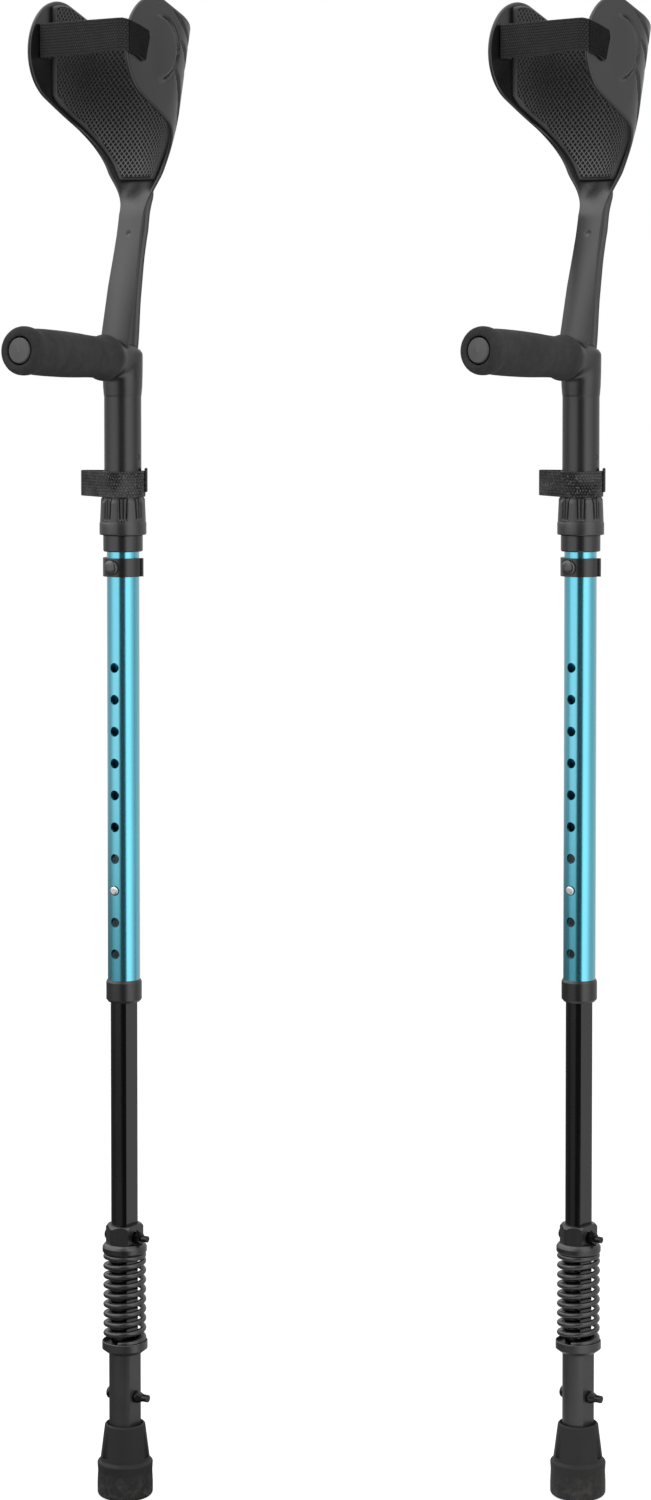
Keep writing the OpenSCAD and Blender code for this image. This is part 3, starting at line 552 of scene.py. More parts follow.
def grown(name, side, points, tree, finish, sizes=None):
    """A piece that a geometry tree grows along a run of points, kept as a plain mesh."""
    run = [(i, i + 1) for i in range(len(points) - 1)]
    made = piece(name, side, points, [], finish, edges=run)
    modifier = made.modifiers.new("grow", "NODES")
    modifier.node_group = tree
    inputs = {"Material": FINISH[finish], **(sizes or {})}
    for item in tree.interface.items_tree:
        if item.in_out == "INPUT" and item.name in inputs:
            modifier[item.identifier] = inputs[item.name]
    made.update_tag()
    return made_plain(made)


# ---- cuff

WALL = 3.2
HALF_W = 46.6
# The cuff starts as a narrow U at CUFF_Z and widens over FLARE, as its back leans away
CUFF_Z = 1014.1
FLARE = 78.0
START_W = 16.0
START_BACK = 24.7
LEAN = math.tan(math.radians(13.6))
# The wing's front edge seen from the side, as (y, z): a round lobe, a straight fall, a hollow
LOBE = np.array([-20.8, 1135.2])
LOBE_R = 40.5
FALL = math.radians(27)
FALL_OUT = np.array([math.sin(FALL), math.cos(FALL)])
HOLLOW_R = 40.0
HOLLOW_BACK = 17.8
BRINK = LOBE - LOBE_R * FALL_OUT
FOLD_Y = HOLLOW_BACK - HOLLOW_R * (1 - math.sin(FALL))
FOLD = np.array([FOLD_Y, BRINK[1] - (FOLD_Y - BRINK[0]) * math.tan(FALL)])
HOLLOW = FOLD - HOLLOW_R * FALL_OUT
SLOPE = math.tan(math.radians(20.8))
# This length of the wing's straight part counts as much as the quarter turn behind it
AHEAD = 60.0
# The wall reaches down to here, and is the stem's front face below the cuff
WING_LOW = 900.0
# The stem leans back from the handle's height, and its front's half width changes with height
HANDLE_Z = 897.1
STEM_FRONT = -14.3
STEM_LEAN = math.radians(13)
STEM_HEIGHTS = [897, 917, 954, 969, 981, 994, 1006, 1014, 1026]
STEM_HALVES = [13.2, 13.2, 12.9, 12.1, 11.5, 11.0, 11.1, 11.6, 13.4]
# A small dimple in the stem's front
DIMPLE_X = 0.4
DIMPLE_Z = 995.5
DIMPLE_R = 1.5


def smooth(low, high, value):
    """Turns smoothly from 0 at low to 1 at high."""
    share = np.clip((value - low) / (high - low), 0, 1)
    return share * share * (3 - 2 * share)


def half_width(z):
    rise = np.clip((z - CUFF_Z) / FLARE, 0, 1)
    return START_W + (HALF_W - START_W) * np.sin(np.pi / 2 * rise)


def back_y(z):
    return START_BACK + (z - CUFF_Z) * LEAN


def line_circle(a, s, c, r, side):
    """Where the row z = a - s * y crosses a circle, on its front (-1) or rear (1) side."""
    d = a - s * c[0] - c[1]
    return c[0] + (d * s + side * math.sqrt(max(0.0, r * r * (1 + s * s) - d * d))) / (1 + s * s)


def wall_row(v, low, inset, front=-math.inf):
    """One row of the wall: height at y = 0, slope, and y of its front end."""
    rim = LOBE[1] + SLOPE * LOBE[0] + (LOBE_R - inset) * math.sqrt(1 + SLOPE * SLOPE)
    a = low + (rim - low) * v
    s = SLOPE * v * v
    if a - s * BRINK[0] > BRINK[1]:
        y = line_circle(a, s, LOBE, LOBE_R - inset, -1)
    elif a - s * FOLD[0] > FOLD[1]:
        fall = FALL_OUT[0] * BRINK[0] - FALL_OUT[1] * (a - BRINK[1])
        y = (inset + fall) / (FALL_OUT[0] - s * FALL_OUT[1])
    elif a - s * (HOLLOW[0] + HOLLOW_R) > HOLLOW[1]:
        y = line_circle(a, s, HOLLOW, HOLLOW_R + inset, 1)
    else:
        y = HOLLOW[0] + HOLLOW_R + inset
    return a, s, max(y, front)


def wall_line(row, us, k, k_end=None):
    """Points of one row at inset k, for shares us from -1 at one front end to 1 at the other.

    Also gives how far round each point is: 0 at the back, 1 where the wing turns straight.
    k_end is the inset whose front end all the insets share, as spokes share a rim."""
    a, s, y_end = row
    z_end = a - s * y_end
    w = half_width(z_end)
    y0 = back_y(z_end) - w
    if y_end <= y0:
        end = 1 + (y0 - y_end) / AHEAD
    else:
        reach = w - (k if k_end is None else k_end)
        end = math.degrees(math.acos(min(1.0, (y_end - y0) / reach))) / 90
    t = np.abs(us) * end
    bend = np.pi / 2 * np.minimum(t, 1)
    z = np.full(len(us), a, float)
    # The width and the back depend on z, which depends on y: a few rounds settle them
    for _ in range(8):
        w = half_width(z)
        y0 = back_y(z) - w
        y = np.where(t >= 1, y0 - (t - 1) * AHEAD, y0 + (w - k) * np.cos(bend))
        z = a - s * y
    r = half_width(z) - k
    x = np.sign(us) * np.where(t >= 1, r, r * np.sin(bend))
    return np.stack([x, y, z], 1), t


# Leaf-shaped recesses on the cuff's rear shoulders: degrees round the corner, height, half width
LEAVES = [
    [(-20, 1167, 0.4), (-2, 1160, 1.4), (16, 1150, 2.0), (34, 1141, 2.0), (52, 1134, 1.4), (66, 1131, 0.4)],
    [(2, 1145, 0.4), (13, 1139, 2.2), (26, 1130, 3.0), (38, 1118, 3.2), (50, 1105, 2.4), (60, 1094, 0.5)],
    [(0, 1122, 0.4), (9, 1114, 2.2), (18, 1102, 3.2), (26, 1088, 3.4), (34, 1072, 2.8), (41, 1054, 0.5)],
]
LEAF_DEEP = 2.1
# The round boss on each wing: its middle, its radius, its rise and its groove
BOSS_Y = -15.8
BOSS_Z = 1137.0
BOSS_R = 24.4
BOSS_RISE = 0.5
GROOVE_DEEP = 2.9
GROOVE_WIDE = 0.95


def leaf_depth(turn, z):
    """Recess depth in millimetres for points turn degrees round the corner at height z."""
    depth = np.zeros(len(z))
    for leaf in LEAVES:
        knots = np.array(leaf, float)
        fine = np.linspace(0, len(knots) - 1, 60)
        line = np.stack([np.interp(fine, range(len(knots)), knots[:, i]) for i in range(3)], 1)
        dx = (turn[:, None] - line[None, :, 0]) * HALF_W * math.pi / 180
        dz = z[:, None] - line[None, :, 1]
        gap = np.hypot(dx, dz) - line[None, :, 2]
        depth = np.maximum(depth, LEAF_DEEP * (1 - smooth(-1.1, 0.3, gap.min(1))))
    return depth


def boss_depth(y, z):
    """The boss on the wing: its groove is deep behind and fades toward the front."""
    dy = y - BOSS_Y
    r = np.hypot(dy, z - BOSS_Z)
    rear = smooth(-0.15, 0.45, dy / np.maximum(r, 1e-6))
    groove = GROOVE_DEEP * np.exp(-((r - BOSS_R) / GROOVE_WIDE) ** 2)
    raised = BOSS_RISE * (1 - smooth(BOSS_R - 0.8, BOSS_R + 0.2, r)) * smooth(-0.6, 0.6, dy / BOSS_R)
    return groove * rear - raised


def carved(line, t, us):
    """Sinks the leaves and the boss's groove into a row of the wings' outer face."""
    on_wing = np.where(t > 0.93, boss_depth(line[:, 1], line[:, 2]), 0)
    depth = leaf_depth((1 - t) * 90, line[:, 2]) + on_wing
    bend = np.pi / 2 * np.minimum(t, 1)
    outward = np.stack([np.sign(us) * np.sin(bend), np.cos(bend), 0 * t], 1)
    return line - outward * depth[:, None]


def spoon(z):
    """How far the wall has turned from the stem's flat front into the cuff's U."""
    return smooth(CUFF_Z - 6, CUFF_Z + 30, z)


def stem_front(z):
    return STEM_FRONT + (z - HANDLE_Z) * math.tan(STEM_LEAN)


def stem_half(z):
    """Half the width of the stem's front at height z."""
    return np.interp(z, STEM_HEIGHTS, STEM_HALVES)


def spooned(line, us, k):
    """Lays the rows below the cuff on the stem's front face, which bulges a little."""
    z = line[:, 2]
    across = us * stem_half(z)
    spot = ((across - DIMPLE_X) / DIMPLE_R) ** 2 + ((z - DIMPLE_Z) / DIMPLE_R) ** 2
    dimple = 0.8 * np.exp(-spot) * (k / WALL)
    bulge = 0.5 + 2.0 * (1 - smooth(925, 1000, z))
    front = stem_front(z) + (WALL - k) * 0.75 - bulge * (1 - us * us) + dimple
    flat = np.stack([across, front, z], 1)
    return flat + (line - flat) * spoon(z)[:, None]


def cuff_wings(side):
    """The wings: two faces of a wall with a rounded rim, and relief on the outer face."""
    columns, lip, rim_steps = 90, WALL / 2, 6
    us = np.arange(-columns, columns + 1) / columns
    # Rows lie closer toward the rim, with some more of them round the dimple
    vs = np.sin(np.pi / 2 * np.linspace(0, 1, 160))
    vs = np.sort(np.concatenate([vs, np.linspace(0.345, 0.375, 14)]))
    points = []
    for k in (0.0, WALL):
        for v in vs:
            line, t = wall_line(wall_row(v, WING_LOW, lip), us, k)
            line = spooned(line, us, k)
            if k == 0.0:
                line = carved(line, t, us)
            points.extend(line.tolist())
    outer = grid(0, len(vs), len(us))
    inner = grid(outer.size, len(vs), len(us))

    strips = [sheet_edge(outer)]
    for i in range(1, rim_steps):
        angle = math.pi * i / rim_steps
        k = lip - lip * math.cos(angle)
        inset = lip - lip * math.sin(angle)
        lines = [spooned(wall_line(wall_row(v, WING_LOW, inset), us, k)[0], us, k) for v in vs]
        loop = sheet_edge(lines)
        strips.append(list(range(len(points), len(points) + len(loop))))
        points.extend(loop)
    strips.append(sheet_edge(inner))

    faces = sheet_faces(outer, closed=False, flip=True) + sheet_faces(inner, closed=False)
    faces += sheet_faces(strips, closed=False) + sheet_faces([outer[0], inner[0]], closed=False)
    faces += [[strip[end] for strip in strips] for end in (0, -1)]
    made = piece("cuff_wings", side, points, faces, "cuff")
    finished(tidy(made), side, "upper", "moulding", "cuff_shell")


def stem_section(w, deep):
    """Half of the stem's section: front flange, side groove, rear rib."""
    return [
        (0, 0.5), (w * 0.5, 0.6), (w - 1.8, 0.8), (w - 1.0, 1.0), (w - 0.3, 1.6), (w - 0.1, 2.4),
        (w - 0.5, 3.1), (w - 1.4, 3.4), (w - 3.2, 3.6), (w - 3.5, 4.2), (w - 3.5, 5.2 + deep * 0.8),
        (w - 3.0, 5.8 + deep * 0.9), (w - 2.1, 6.1 + deep), (w - 1.6, 6.8 + deep), (w - 1.6, 8.2 + deep),
        (w - 2.3, 9.1 + deep), (w - 4.5, 9.5 + deep), (0, 9.6 + deep),
    ]


def cuff_stem(side):
    """The stem, which widens at the handle and whose rear rib fades up the cuff's back."""
    rings, tip_half = 112, 6.0
    c, s = math.cos(STEM_LEAN), math.sin(STEM_LEAN)
    points = []
    for h in np.linspace(7.0, 165.0, rings):
        w = stem_half(HANDLE_Z + h * c) - 1.8 * smooth(104, 130, h)
        w = tip_half + (w - tip_half) * (1 - smooth(134, 161, h))
        deep = 3.4 + 5.0 * (1 - smooth(6, 62, h)) + 1.4 * smooth(78, 110, h)
        half = stem_section(w, deep)
        for x, y in half + [(-x, y) for x, y in half[-2:0:-1]]:
            along_y = STEM_FRONT + y * c + h * s
            z = HANDLE_Z + h * c - y * s
            if z > CUFF_Z - 12:
                # Up the cuff the stem's front stays inside the wall, and its rib fades into the back
                wall = stem_front(z) + (back_y(z) - WALL - stem_front(z)) * spoon(z)
                proud = 3.8 - 2.9 * smooth(1002, 1032, z) - 1.8 * smooth(1034, 1054, z)
                along_y = max(along_y, wall + 1.2 * smooth(CUFF_Z - 8, CUFF_Z + 12, z))
                along_y = min(along_y, max(wall + 1.2, back_y(z) + proud))
            points.append((x, along_y, z))
    faces = rod_faces(grid(0, rings, len(points) // rings))
    made = piece("cuff_stem", side, points, faces, "cuff")
    finished(tidy(made), side, "upper", "moulding")


def cuff_pad(side):
    """The pad: a soft sheet in the cuff with a rounded border."""
    rows, columns, steps = 60, 60, 7
    inset, low, front = 3.0, CUFF_Z + 23.4, -33.0
    outer, inner, brim, roll = WALL + 0.3, WALL + 4.2, 0.6, 1.7
    us = np.arange(-columns, columns + 1) / columns
    vs = np.sin(np.pi / 2 * np.linspace(0, 1, rows + 1))
    points = []
    place = []

    def layer(k, extra):
        """The pad's rows at inset k, drawn in by extra all round."""
        heights = [wall_row(v, low + extra, inset + extra, front + extra) for v in vs]
        return [wall_line(row, us, k, outer)[0] for row in heights]

    def add(line, edge):
        """Adds points, keeps their place on the pad in metres, and gives their numbers."""
        start = len(points)
        for x, y, z in line:
            w = half_width(z)
            ahead = back_y(z) - w - y
            turn = abs(math.atan2(x, -ahead))
            along = min(turn, math.pi / 2) * w + (ahead if turn > math.pi / 2 else 0.0)
            points.append((x, y, z))
            place.append((np.sign(x) * along / 1000, z / 1000, edge / 1000))
        return list(range(start, len(points)))

    loops = []
    for i in range(steps + 1):
        angle = math.pi / 2 * i / steps
        extra = roll * (1 - math.cos(angle))
        lines = layer(outer + brim + (inner - outer - brim) * math.sin(angle), extra)
        if i < steps:
            loops.append(add(sheet_edge(lines, closed=True), extra))
    face = [add(line, 0) for line in lines]
    back = [add(line, 0) for line in layer(outer, 0.4)]
    loops.append(sheet_edge(face, closed=True))
    faces = sheet_faces(face, closed=False) + sheet_faces(loops)
    faces += sheet_faces(back, closed=False, flip=True)
    faces += sheet_faces([sheet_edge(back, closed=True), loops[0]])

    # The net stops short of the border, so the inner face keeps its distance to it
    rim = np.array([points[i] for i in loops[0]])[::2]
    for row in face:
        spots = np.array([points[i] for i in row])
        gaps = np.linalg.norm(spots[:, None] - rim[None], axis=2).min(1)
        for i, gap in zip(row, gaps):
            place[i] = (*place[i][:2], gap / 1000)
    made = piece("cuff_padding", side, points, faces, "pad")
    field = made.data.attributes.new("pad_place", "FLOAT_VECTOR", "POINT")
    field.data.foreach_set("vector", np.array(place, np.float32).ravel())
    finished(made, side, "upper", "pad", "cuff_pad")


# ---- webbing

def strap_piece(name, side, path, low, high, thick, finish, *nodes,
                tail=None, closed=False, body="upper", across=10):
    """A flat strap of webbing that stands on its edge along a path of (x, y) points.

    tail gives how far a point is moved, from its height and its distance along the strap."""
    path = np.array(path, float)
    ahead = np.roll(path, -1, 0) - np.roll(path, 1, 0)
    if not closed:
        ahead[0], ahead[-1] = path[1] - path[0], path[-1] - path[-2]
    ahead /= np.linalg.norm(ahead, axis=1)[:, None]
    normal = np.stack([ahead[:, 1], -ahead[:, 0]], 1)
    steps = np.linalg.norm(np.diff(path, axis=0), axis=1)
    along = np.concatenate([[0], np.cumsum(steps)])
    half = thick / 2
    flat = [(z, 1.0) for z in np.linspace(low + 0.7, high - 0.7, across)]
    rise = [(low, 0.3), (low + 0.25, 0.8)] + flat + [(high - 0.25, 0.8), (high, 0.3)]
    profile = [(z, -half * d) for z, d in rise] + [(z, half * d) for z, d in rise[::-1]]
    points = []
    uv = []
    for p, m, run in zip(path, normal, along):
        for z, d in profile:
            shift = np.zeros(3) if tail is None else tail(z, run)
            points.append(np.append(p + m * d, z) + shift)
            uv.append((run / 1000, (z - low) / 1000))
    rings = grid(0, len(path), len(profile))
    if closed:
        faces = sheet_faces(rings) + sheet_faces([rings[-1], rings[0]])
    else:
        faces = rod_faces(rings)
    made = piece(name, side, points, faces, finish)
    layer = made.data.uv_layers.new(name="strap_map")
    index = np.zeros(len(made.data.loops), int)
    made.data.loops.foreach_get("vertex_index", index)
    layer.data.foreach_set("uv", np.array(uv)[index].ravel())
    with Edited(made.data) as work:
        bmesh.ops.recalc_face_normals(work, faces=work.faces)
    finished(made, side, body, "webbing", *nodes)


def rounded(corners, step=1.5):
    """A path through corners (x, y, radius) with each corner rounded."""
    path = []
    for i, (x, y, r) in enumerate(corners):
        p = np.array([x, y])
        if r == 0:
            path.append(p)
            continue
        a = np.array(corners[i - 1][:2]) - p
        b = np.array(corners[i + 1][:2]) - p
        a, b = a / np.linalg.norm(a), b / np.linalg.norm(b)
        half = math.acos(float(np.clip(a @ b, -1, 1))) / 2
        reach = r / math.tan(half)
        one, two = p + a * reach, p + b * reach
        for t in np.linspace(0, 1, 9):
            path.append((1 - t) ** 2 * one + 2 * t * (1 - t) * p + t * t * two)
    fine = [path[0]]
    for a, b in zip(path, path[1:]):
        count = max(1, int(np.linalg.norm(b - a) / step))
        fine += [a + (b - a) * (j + 1) / count for j in range(count)]
    return np.array(fine)


STRAP_LOW = 1130.2
STRAP_HIGH = 1156.4
STRAP_PATH = [(-42.1, -36.3, 0), (-42.1, -50.2, 3), (40.8, -64.0, 2), (47.8, -62.6, 2.4), (47.9, -31.5, 0)]
# The ribbed patch lies outside the strap's free end and follows its cut and droop: PATCH_START
# is where it begins along the strap, and PATCH_SHARE how fast it runs along it
PATCH_START = 106.0
PATCH_SHARE = 0.84
PATCH_X = 48.95
PATCH_Y = -61.2
PATCH_LENGTH = 29.0
PATCH_POINTS = 96
RIBS = 27 / 2.3
RIB_RISE = 0.3


def strap_tail(z, along):
    """The strap's free end is cut at a slant, droops, and narrows from below."""
    share = (z - STRAP_LOW) / (STRAP_HIGH - STRAP_LOW)
    cut = ((1 - share) * 8.0 + max(0.0, share - 0.75) * 14.0) * smooth(114, 135, along)
    droop = 7.5 * max(0.0, along - 101.0) / 30.0
    narrowing = 2.8 * (1 - share) * min(1.0, max(0.0, along - 60.0) / 60.0)
    return np.array([0.0, -cut, narrowing - droop])


def patch_tail(z, along):
    return strap_tail(z, PATCH_START + along * PATCH_SHARE)


def cuff_strap(side):
    """Webbing sewn inside one wing, across the opening and round the other wing's edge."""
    strap_piece("arm_strap", side, rounded(STRAP_PATH), STRAP_LOW, STRAP_HIGH, 1.7, "web",
                "cuff_strap", tail=strap_tail)
    ribbed = []
    for t in np.arange(PATCH_POINTS) / PATCH_POINTS:
        rib = abs(math.sin(math.pi * RIBS * t))
        ribbed.append((PATCH_X + RIB_RISE * rib, PATCH_Y + PATCH_LENGTH * t))
    strap_piece("hook_patch", side, ribbed, STRAP_LOW + 0.3, STRAP_HIGH - 0.3, 0.9, "hook_tape",
                tail=patch_tail)
    # The seam is a square with a cross in it
    x, back, front, low, high = -41.1, -37.5, -48.5, STRAP_LOW + 2.4, STRAP_HIGH - 2.4
    box_and_cross = [(back, low), (front, low), (front, high), (back, high),
                     (back, low), (front, high), (back, high), (front, low)]
    seam = grown("strap_stitches", side, [(x, y, z) for y, z in box_and_cross], STITCH, "thread")
    finished(seam, side, "upper", "webbing")


# ---- collar and tie strap

COLLAR_Z = 760.1
COLLAR_TOP = 789.5
NECK_TOP = 809.9
TUBE_BORE = 14.75


def lock_collar(side):
    """The lock collar: a plain ring below, broad panels and slim ribs above."""
    z = COLLAR_Z
    pitch, facing, skin = 45, math.radians(-55), 0.4
    outer = [(18.0, z + 0.15), (18.28, z + 0.5), (18.35, z + 1.0), (18.35, z + 9.2), (18.1, z + 9.7)]
    outer += [(17.95 - 0.75 * t, z + 10 + 17.8 * t) for t in np.concatenate([[0], np.linspace(0.05, 1, 22)])]
    outer += [(16.9, COLLAR_TOP - 0.9), (16.2, COLLAR_TOP - 0.1), (15.9, COLLAR_TOP)]
    outer += [(15.66, COLLAR_TOP + 0.3), (15.66, NECK_TOP)]
    inner = [(TUBE_BORE, NECK_TOP), (TUBE_BORE, z + 0.15)]

    def radius(r, height, a):
        """Cuts two grooves beside each rib and a slit along it, and rounds the panels' tops."""
        if r <= TUBE_BORE + 0.01 or height < z + 10 or height > COLLAR_TOP - 0.05:
            return r
        off = abs((math.degrees(a - facing) + pitch / 2) % pitch - pitch / 2)
        rise = (height - z - 12.2) / 15.5
        groove = 1.9 * math.exp(-((off - 8.2 - 1.8 * max(0.0, rise)) / 1.6) ** 2)
        slit = 1.7 * math.exp(-(off / 1.5) ** 2)
        cap = 0.9 * smooth(0.86, 0.97, rise) if off > 8 else 0.0
        return max(r - smooth(-0.02, 0.06, rise) * (groove + slit) - cap, TUBE_BORE + skin)

    made = turned("collar_grip", side, outer + inner, "moulding", sides=336, radius=radius)
    finished(tidy(made), side, "collar", "moulding", "lock_collar")


def straight(a, b):
    """Points on the straight run between two others."""
    a, b = np.array(a), np.array(b)
    return [tuple(a + (b - a) * t) for t in np.linspace(0.06, 0.94, 14)]


def storage_strap(side):
    """A band round the collar's neck that runs out to one side as a flat loop, and its tab."""
    r, tip, end = 16.8, -34.4, 3.75
    lean = math.degrees(math.asin((r - end) / -tip))
    band = arc((0, 0), r, 90 + lean, -90 - lean, 84)
    loop = arc((tip, 0), end, -90 - lean, -270 + lean, 14)
    path = band + straight(band[-1], loop[0]) + loop + straight(loop[-1], band[0])
    strap_piece("tie_strap", side, path, COLLAR_TOP + 0.3, NECK_TOP, 1.6, "hook_web",
                "storage_strap", closed=True, body="collar", across=14)
    tab = []
    for t in np.linspace(0, 0.7, 14):
        reach = r + 1.7 + 1.2 * t * t
        tab.append((reach * math.cos(0.25 + t), reach * math.sin(0.25 + t)))
    strap_piece("tie_tab", side, tab, COLLAR_TOP + 4, NECK_TOP + 2.2, 1.2, "web", body="collar")


# ---- handle

TILT = math.radians(3.4)
SLEEVE_Z = 868.1
SLEEVE_TOP = 905.3
SLEEVE_R = 15.75
NECK_R = 15.2
SLEEVE = [
    (0.01, SLEEVE_Z), (14.55, SLEEVE_Z), (14.7, SLEEVE_Z + 0.6), (SLEEVE_R - 0.4, SLEEVE_Z + 8),
    (SLEEVE_R - 0.1, SLEEVE_Z + 18), (SLEEVE_R, SLEEVE_Z + 26), (SLEEVE_R, SLEEVE_TOP - 4.5),
    (SLEEVE_R - 0.4, SLEEVE_TOP - 3.0), (SLEEVE_R - 2.2, SLEEVE_TOP - 0.6), (SLEEVE_R - 3.2, SLEEVE_TOP),
    (0.01, SLEEVE_TOP),
]
NECK = [(NECK_R, -2.0), (NECK_R, 14.0), (NECK_R + 0.5, 18.0), (NECK_R + 0.5, 21.2)]
# A flange by the tube, a waist, a full palm and a bead at the end
GRIP = [
    (11.05, 21.4), (15.4, 21.3), (16.6, 21.9), (17.6, 23.2), (18.1, 25.2), (17.9, 27.4), (17.2, 29.6),
    (16.6, 32.0), (16.25, 35.5), (16.1, 40.0), (16.2, 46.0), (16.5, 53.0), (16.95, 61.0), (17.3, 70.0),
    (17.6, 80.0), (17.75, 92.0), (17.8, 104.0), (17.65, 114.0), (17.4, 119.0), (17.25, 121.5),
    (17.45, 123.4), (17.95, 125.2), (18.35, 127.4), (18.55, 129.8), (18.5, 131.8), (18.05, 133.8),
    (17.2, 135.4), (16.0, 136.4), (14.6, 136.8), (13.0, 136.8), (11.7, 136.5), (11.1, 135.8),
    (10.9, 134.4), (11.05, 134.0),
]


def on_handle(points):
    """Turns a piece that stands on Z to the handle's axis."""
    x, y, z = points.T
    c, s = math.cos(TILT), math.sin(TILT)
    return np.stack([x, -z * c - y * s, HANDLE_Z + z * s - y * c], 1)


def rod(profile, sides=120):
    """Points and faces of a rod on Z, from its (radius, height) profile."""
    turns = [2 * math.pi * j / sides for j in range(sides)]
    points = [(r * math.cos(a), r * math.sin(a), z) for r, z in profile for a in turns]
    return np.array(points), rod_faces(grid(0, len(profile), sides))


def by_neck(side, point):
    """Whether a point of the handle's body lies where the neck runs into the sleeve."""
    x, y, z = unplaced(side, point)
    up = (z - HANDLE_Z) * math.cos(TILT) + y * math.sin(TILT)
    gap = abs(math.hypot(x, y) - SLEEVE_R) + abs(math.hypot(x, up) - NECK_R)
    return SLEEVE_Z + 1 < z < SLEEVE_TOP - 1.5 and y < 2 and gap < 5.5


def handle_body(side):
    """The sleeve on the tube and the handle's neck, run together with soft fillets."""
    sleeve, faces = rod(SLEEVE)
    neck, more = rod(NECK)
    faces += [[i + len(sleeve) for i in face] for face in more]
    points = np.concatenate([sleeve, on_handle(neck)])
    made = piece("handle_neck", side, points, faces, "handle")
    shape = made.modifiers.new("blend", "REMESH")
    shape.mode = "VOXEL"
    shape.voxel_size = 0.0006
    made_plain(made)
    made.data.materials.clear()
    made.data.materials.append(FINISH["handle"])
    with Edited(made.data) as work:
        fillet = [vert for vert in work.verts if by_neck(side, vert.co)]
        for verts, rounds in ((fillet, 60), (work.verts, 3)):
            for _ in range(rounds):
                bmesh.ops.smooth_vert(work, verts=verts, factor=0.5,
                                      use_axis_x=True, use_axis_y=True, use_axis_z=True)
    shade(made.data, True)
    finished(made, side, "upper", "moulding", "handle_body")


def grip(side):
    """The foam grip."""
    made = turned("foam_grip", side, GRIP, "foam", axis=on_handle)
    finished(tidy(made), side, "upper", "foam", "grip")


# ---- leg

SPRING_Z = 120.6
SPRING_LENGTH = 73.0
SPRING_TURNS = 9.35
SPRING_R = 14.75
WIRE_R = 2.25
# How much of the last turn lies closed under the upper seat, and the gap at each seat
CLOSED_TURN = 0.45
SEAT_GAP = 0.3
FIRST_ANGLE = -76
DOME = [(0.001, 19.2), (2.4, 19.1), (4.2, 18.75), (5.3, 18.2), (5.85, 17.5), (6.0, 16.6), (6.0, 15.4),
        (0.001, 15.4)]


def coil_spring(side):
    """Compression spring: open turns of one pitch, and a closed end under the upper seat."""
    t = np.linspace(0, 1, int(SPRING_TURNS * 40) + 1)
    rise = np.minimum(1, t * SPRING_TURNS / (SPRING_TURNS - CLOSED_TURN))
    inset = WIRE_R + SEAT_GAP
    z = SPRING_Z + inset + (SPRING_LENGTH - 2 * inset) * rise
    a = np.radians(FIRST_ANGLE + 360 * SPRING_TURNS * t)
    path = np.stack([SPRING_R * np.cos(a), SPRING_R * np.sin(a), z], 1)
    sizes = {"Wire Radius": WIRE_R / 1000, "Sides": 20.0}
    made = grown("spring_wire", side, path, WIRE, "spring", sizes)
    finished(tidy(made), side, "height_tube", "black_steel", "coil_spring")
    side + "_foot_spring"
    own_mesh(made)


def clip_head(side):
    """The domed head of the clip's peg, over the plain one on the clip."""
    low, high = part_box(side + "_tube_clip")
    middle = (low.z + high.z) / 2 * 1000

    def facing_out(points):
        x, y, z = points.T
        return np.stack([x, -z, middle + y], 1)

    made = turned("clip_head", side, DOME, "clip_head", sides=64, axis=facing_out)
    finished(tidy(made, 4e-6), side, "leg", "moulding")


def button_spring(side):
    """The locking button on its folded leaf spring, as one piece."""
    node = side + "_height_button"
    made = shown(side + "_button_spring", NODES[node].data.copy())
    made.data.materials.clear()
    made.data.materials.append(FINISH["zinc"])
    with Edited(made.data) as work:
        bmesh.ops.remove_doubles(work, verts=work.verts, dist=1e-5)
    shade(made.data, False)
    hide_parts(node)
    rear, front = placed(side, [(0, 7.0, 480.0), (0, -7.0, 480.0)])
    side + "_height_tube"
    side + "_button"
    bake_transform(made)


# ---- the model's own pieces

DRESS = {
    "rubber": ["ferrule"],
    "zinc": ["ferrule_washer", "height_button", "hinge_pin"],
    "black_steel": ["travel_bolt", "travel_nut", "seat_bolt", "seat_nut"],
    "foot_tube": ["foot_tube"],
    "moulding": ["spring_bottom_seat"],
    "handle": ["spring_top_seat", "tube_bushing", "upper_tube"],
    "gloss_tube": ["height_tube"],
    "teal": ["main_tube"],
    "clip": ["tube_clip"],
    "knuckle": ["hinge_knuckle", "hinge_fork"],
    "black_tube": ["fork_rivet"],
    "cap": ["grip_end_cap"],
}
BUILDERS = (cuff_wings, cuff_stem, cuff_pad, cuff_strap, lock_collar, storage_strap, handle_body, grip,
            coil_spring, clip_head, button_spring)
for side in SIDES:
    for build in BUILDERS:
        build(side)
    for finish, nodes in DRESS.items():
        for node in nodes:
            slots = NODES[side + "_" + node].data.materials
            slots.clear()
            slots.append(FINISH[finish])


# ---- floor, light and camera

# Level directions from the object toward the camera and to its right
VIEW = math.radians(35)
TOWARD = Vector((math.sin(VIEW), -math.cos(VIEW), 0))
ASIDE = Vector((math.cos(VIEW), math.sin(VIEW), 0))
WHITE = grey(1.0)


def room(x, y):
    """What a shiny surface sees along the level direction (x, y): a broad soft light
    to the left, a dark gap on the camera's side, a brighter narrow light to the right.
    Also gives the direction's turn from the camera's side, in radians."""
    facing = x * TOWARD.x + y * TOWARD.y
    aside = x * ASIDE.x + y * ASIDE.y
    turn = aside.math("ARCTAN2", aside, facing)
    left = turn.ramp(-1.9, -1.0, 0.5, 1.3) * turn.ramp(-0.56, -0.33, 1.0, 0.04)
    right = turn.ramp(0.2, 0.42, 0.02, 1.0) * turn.ramp(0.7, 1.5, 1.75, 0.7)
    return left, right, turn


def rays(g):
    """Whether a ray comes straight from the camera, and whether it is a reflection."""
    return [g.add("ShaderNodeLightPath", out=name) for name in ("Is Camera Ray", "Is Glossy Ray")]


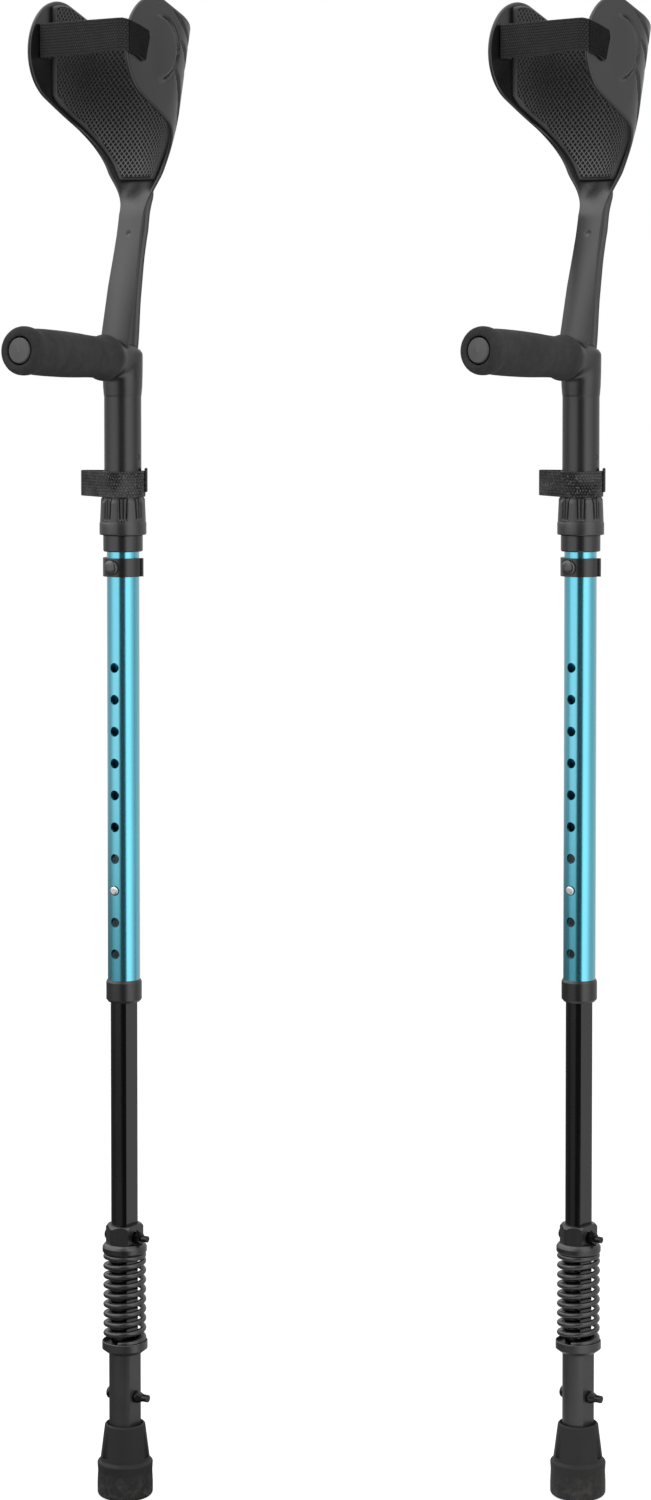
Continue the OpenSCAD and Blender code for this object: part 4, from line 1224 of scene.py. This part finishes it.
def white_floor():
    """White to the camera, pale under the object, and the room of lights in reflections."""
    half, below = 9.0, -0.0004
    mesh = bpy.data.meshes.new("floor")
    corners = [(-half, -half, below), (half, -half, below), (half, half, below), (-half, half, below)]
    mesh.from_pydata(corners, [], [(0, 1, 2, 3)])
    made = bpy.data.materials.new("pale_floor")
    g = empty_graph(made)
    seen, mirrored = rays(g)
    x, y, _ = g.parts(g.add("ShaderNodeTexCoord", out="Object"))
    left, right, _ = room(x, y)
    far = (x * x + y * y).ramp(2.2, 20.0, 0.2, 1.1)
    strength = seen * 0.77 + mirrored * (left * far).most(right * 0.9) + 0.015
    diffuse = g.add("ShaderNodeBsdfDiffuse", None, {"Color": g.mix(mirrored, grey(0.8), grey(0.0))})
    glow = g.add("ShaderNodeEmission", None, {"Color": WHITE, "Strength": strength})
    both = g.add("ShaderNodeAddShader", None, {0: diffuse, 1: glow})
    g.add("ShaderNodeOutputMaterial", None, {"Surface": both})
    mesh.materials.append(made)
    shown("floor", mesh)


def studio_world():
    """White to the camera; the room of soft lights, brighter toward the ceiling, in reflections."""
    world = bpy.data.worlds.new("studio")
    g = empty_graph(world)
    x, y, z = g.parts(g.add("ShaderNodeTexCoord", out="Generated"))
    left, right, turn = room(x, y)
    high = z.ramp(0.12, 0.4) * turn.ramp(-1.4, -0.6, 1.35, 0.1) * turn.ramp(-3.0, -2.3)
    gloss = left.most(right) + high + z.ramp(0.5, 0.9) * 0.8
    seen, mirrored = rays(g)
    unseen = mirrored * gloss + (1 - mirrored) * 0.3
    strength = seen + (1 - seen) * unseen
    back = g.add("ShaderNodeBackground", None, {"Color": WHITE, "Strength": strength})
    g.add("ShaderNodeOutputWorld", None, {"Surface": back})
    bpy.context.scene.world = world


def softbox(name, turn, width, radiance):
    """A tall soft light, turned in degrees from the camera's side, that faces the object."""
    distance, height, tall, target = 2.4, 1.0, 2.6, Vector((0, 0, 0.7))
    light = bpy.data.lights.new(name, "AREA")
    light.shape = "RECTANGLE"
    light.size = width
    light.size_y = tall
    light.energy = radiance * math.pi * width * tall
    made = shown(name, light)
    way = TOWARD * math.cos(math.radians(turn)) + ASIDE * math.sin(math.radians(turn))
    made.location = way * distance + Vector((0, 0, height))
    made.rotation_euler = (target - made.location).to_track_quat("-Z", "Y").to_euler()
    made.visible_camera = False
    made.visible_glossy = False


def camera():
    """Looks down a little, through a lens that shows tall metres of height at the object."""
    distance, height, pitch, tall, left = 2.75, 0.93, math.radians(2.35), 1.1715, 0.0206
    middle = Vector((ORIGIN["left"] + ORIGIN["right"]) / 2) - ASIDE * left
    data = bpy.data.cameras.new("camera")
    data.sensor_fit = "VERTICAL"
    data.sensor_height = 24.0
    data.lens = data.sensor_height * distance / tall
    data.shift_y = -0.1922
    made = shown("camera", data)
    made.location = middle + TOWARD * distance + Vector((0, 0, height))
    look = TOWARD * -math.cos(pitch) + Vector((0, 0, -math.sin(pitch)))
    made.rotation_euler = look.to_track_quat("-Z", "Y").to_euler()
    bpy.context.scene.camera = made


white_floor()
studio_world()
softbox("right_softbox", turn=40, width=2.1, radiance=2.3)
softbox("left_softbox", turn=-58, width=2.0, radiance=1.4)
camera()
bpy.context.scene.view_settings.view_transform = "Standard"
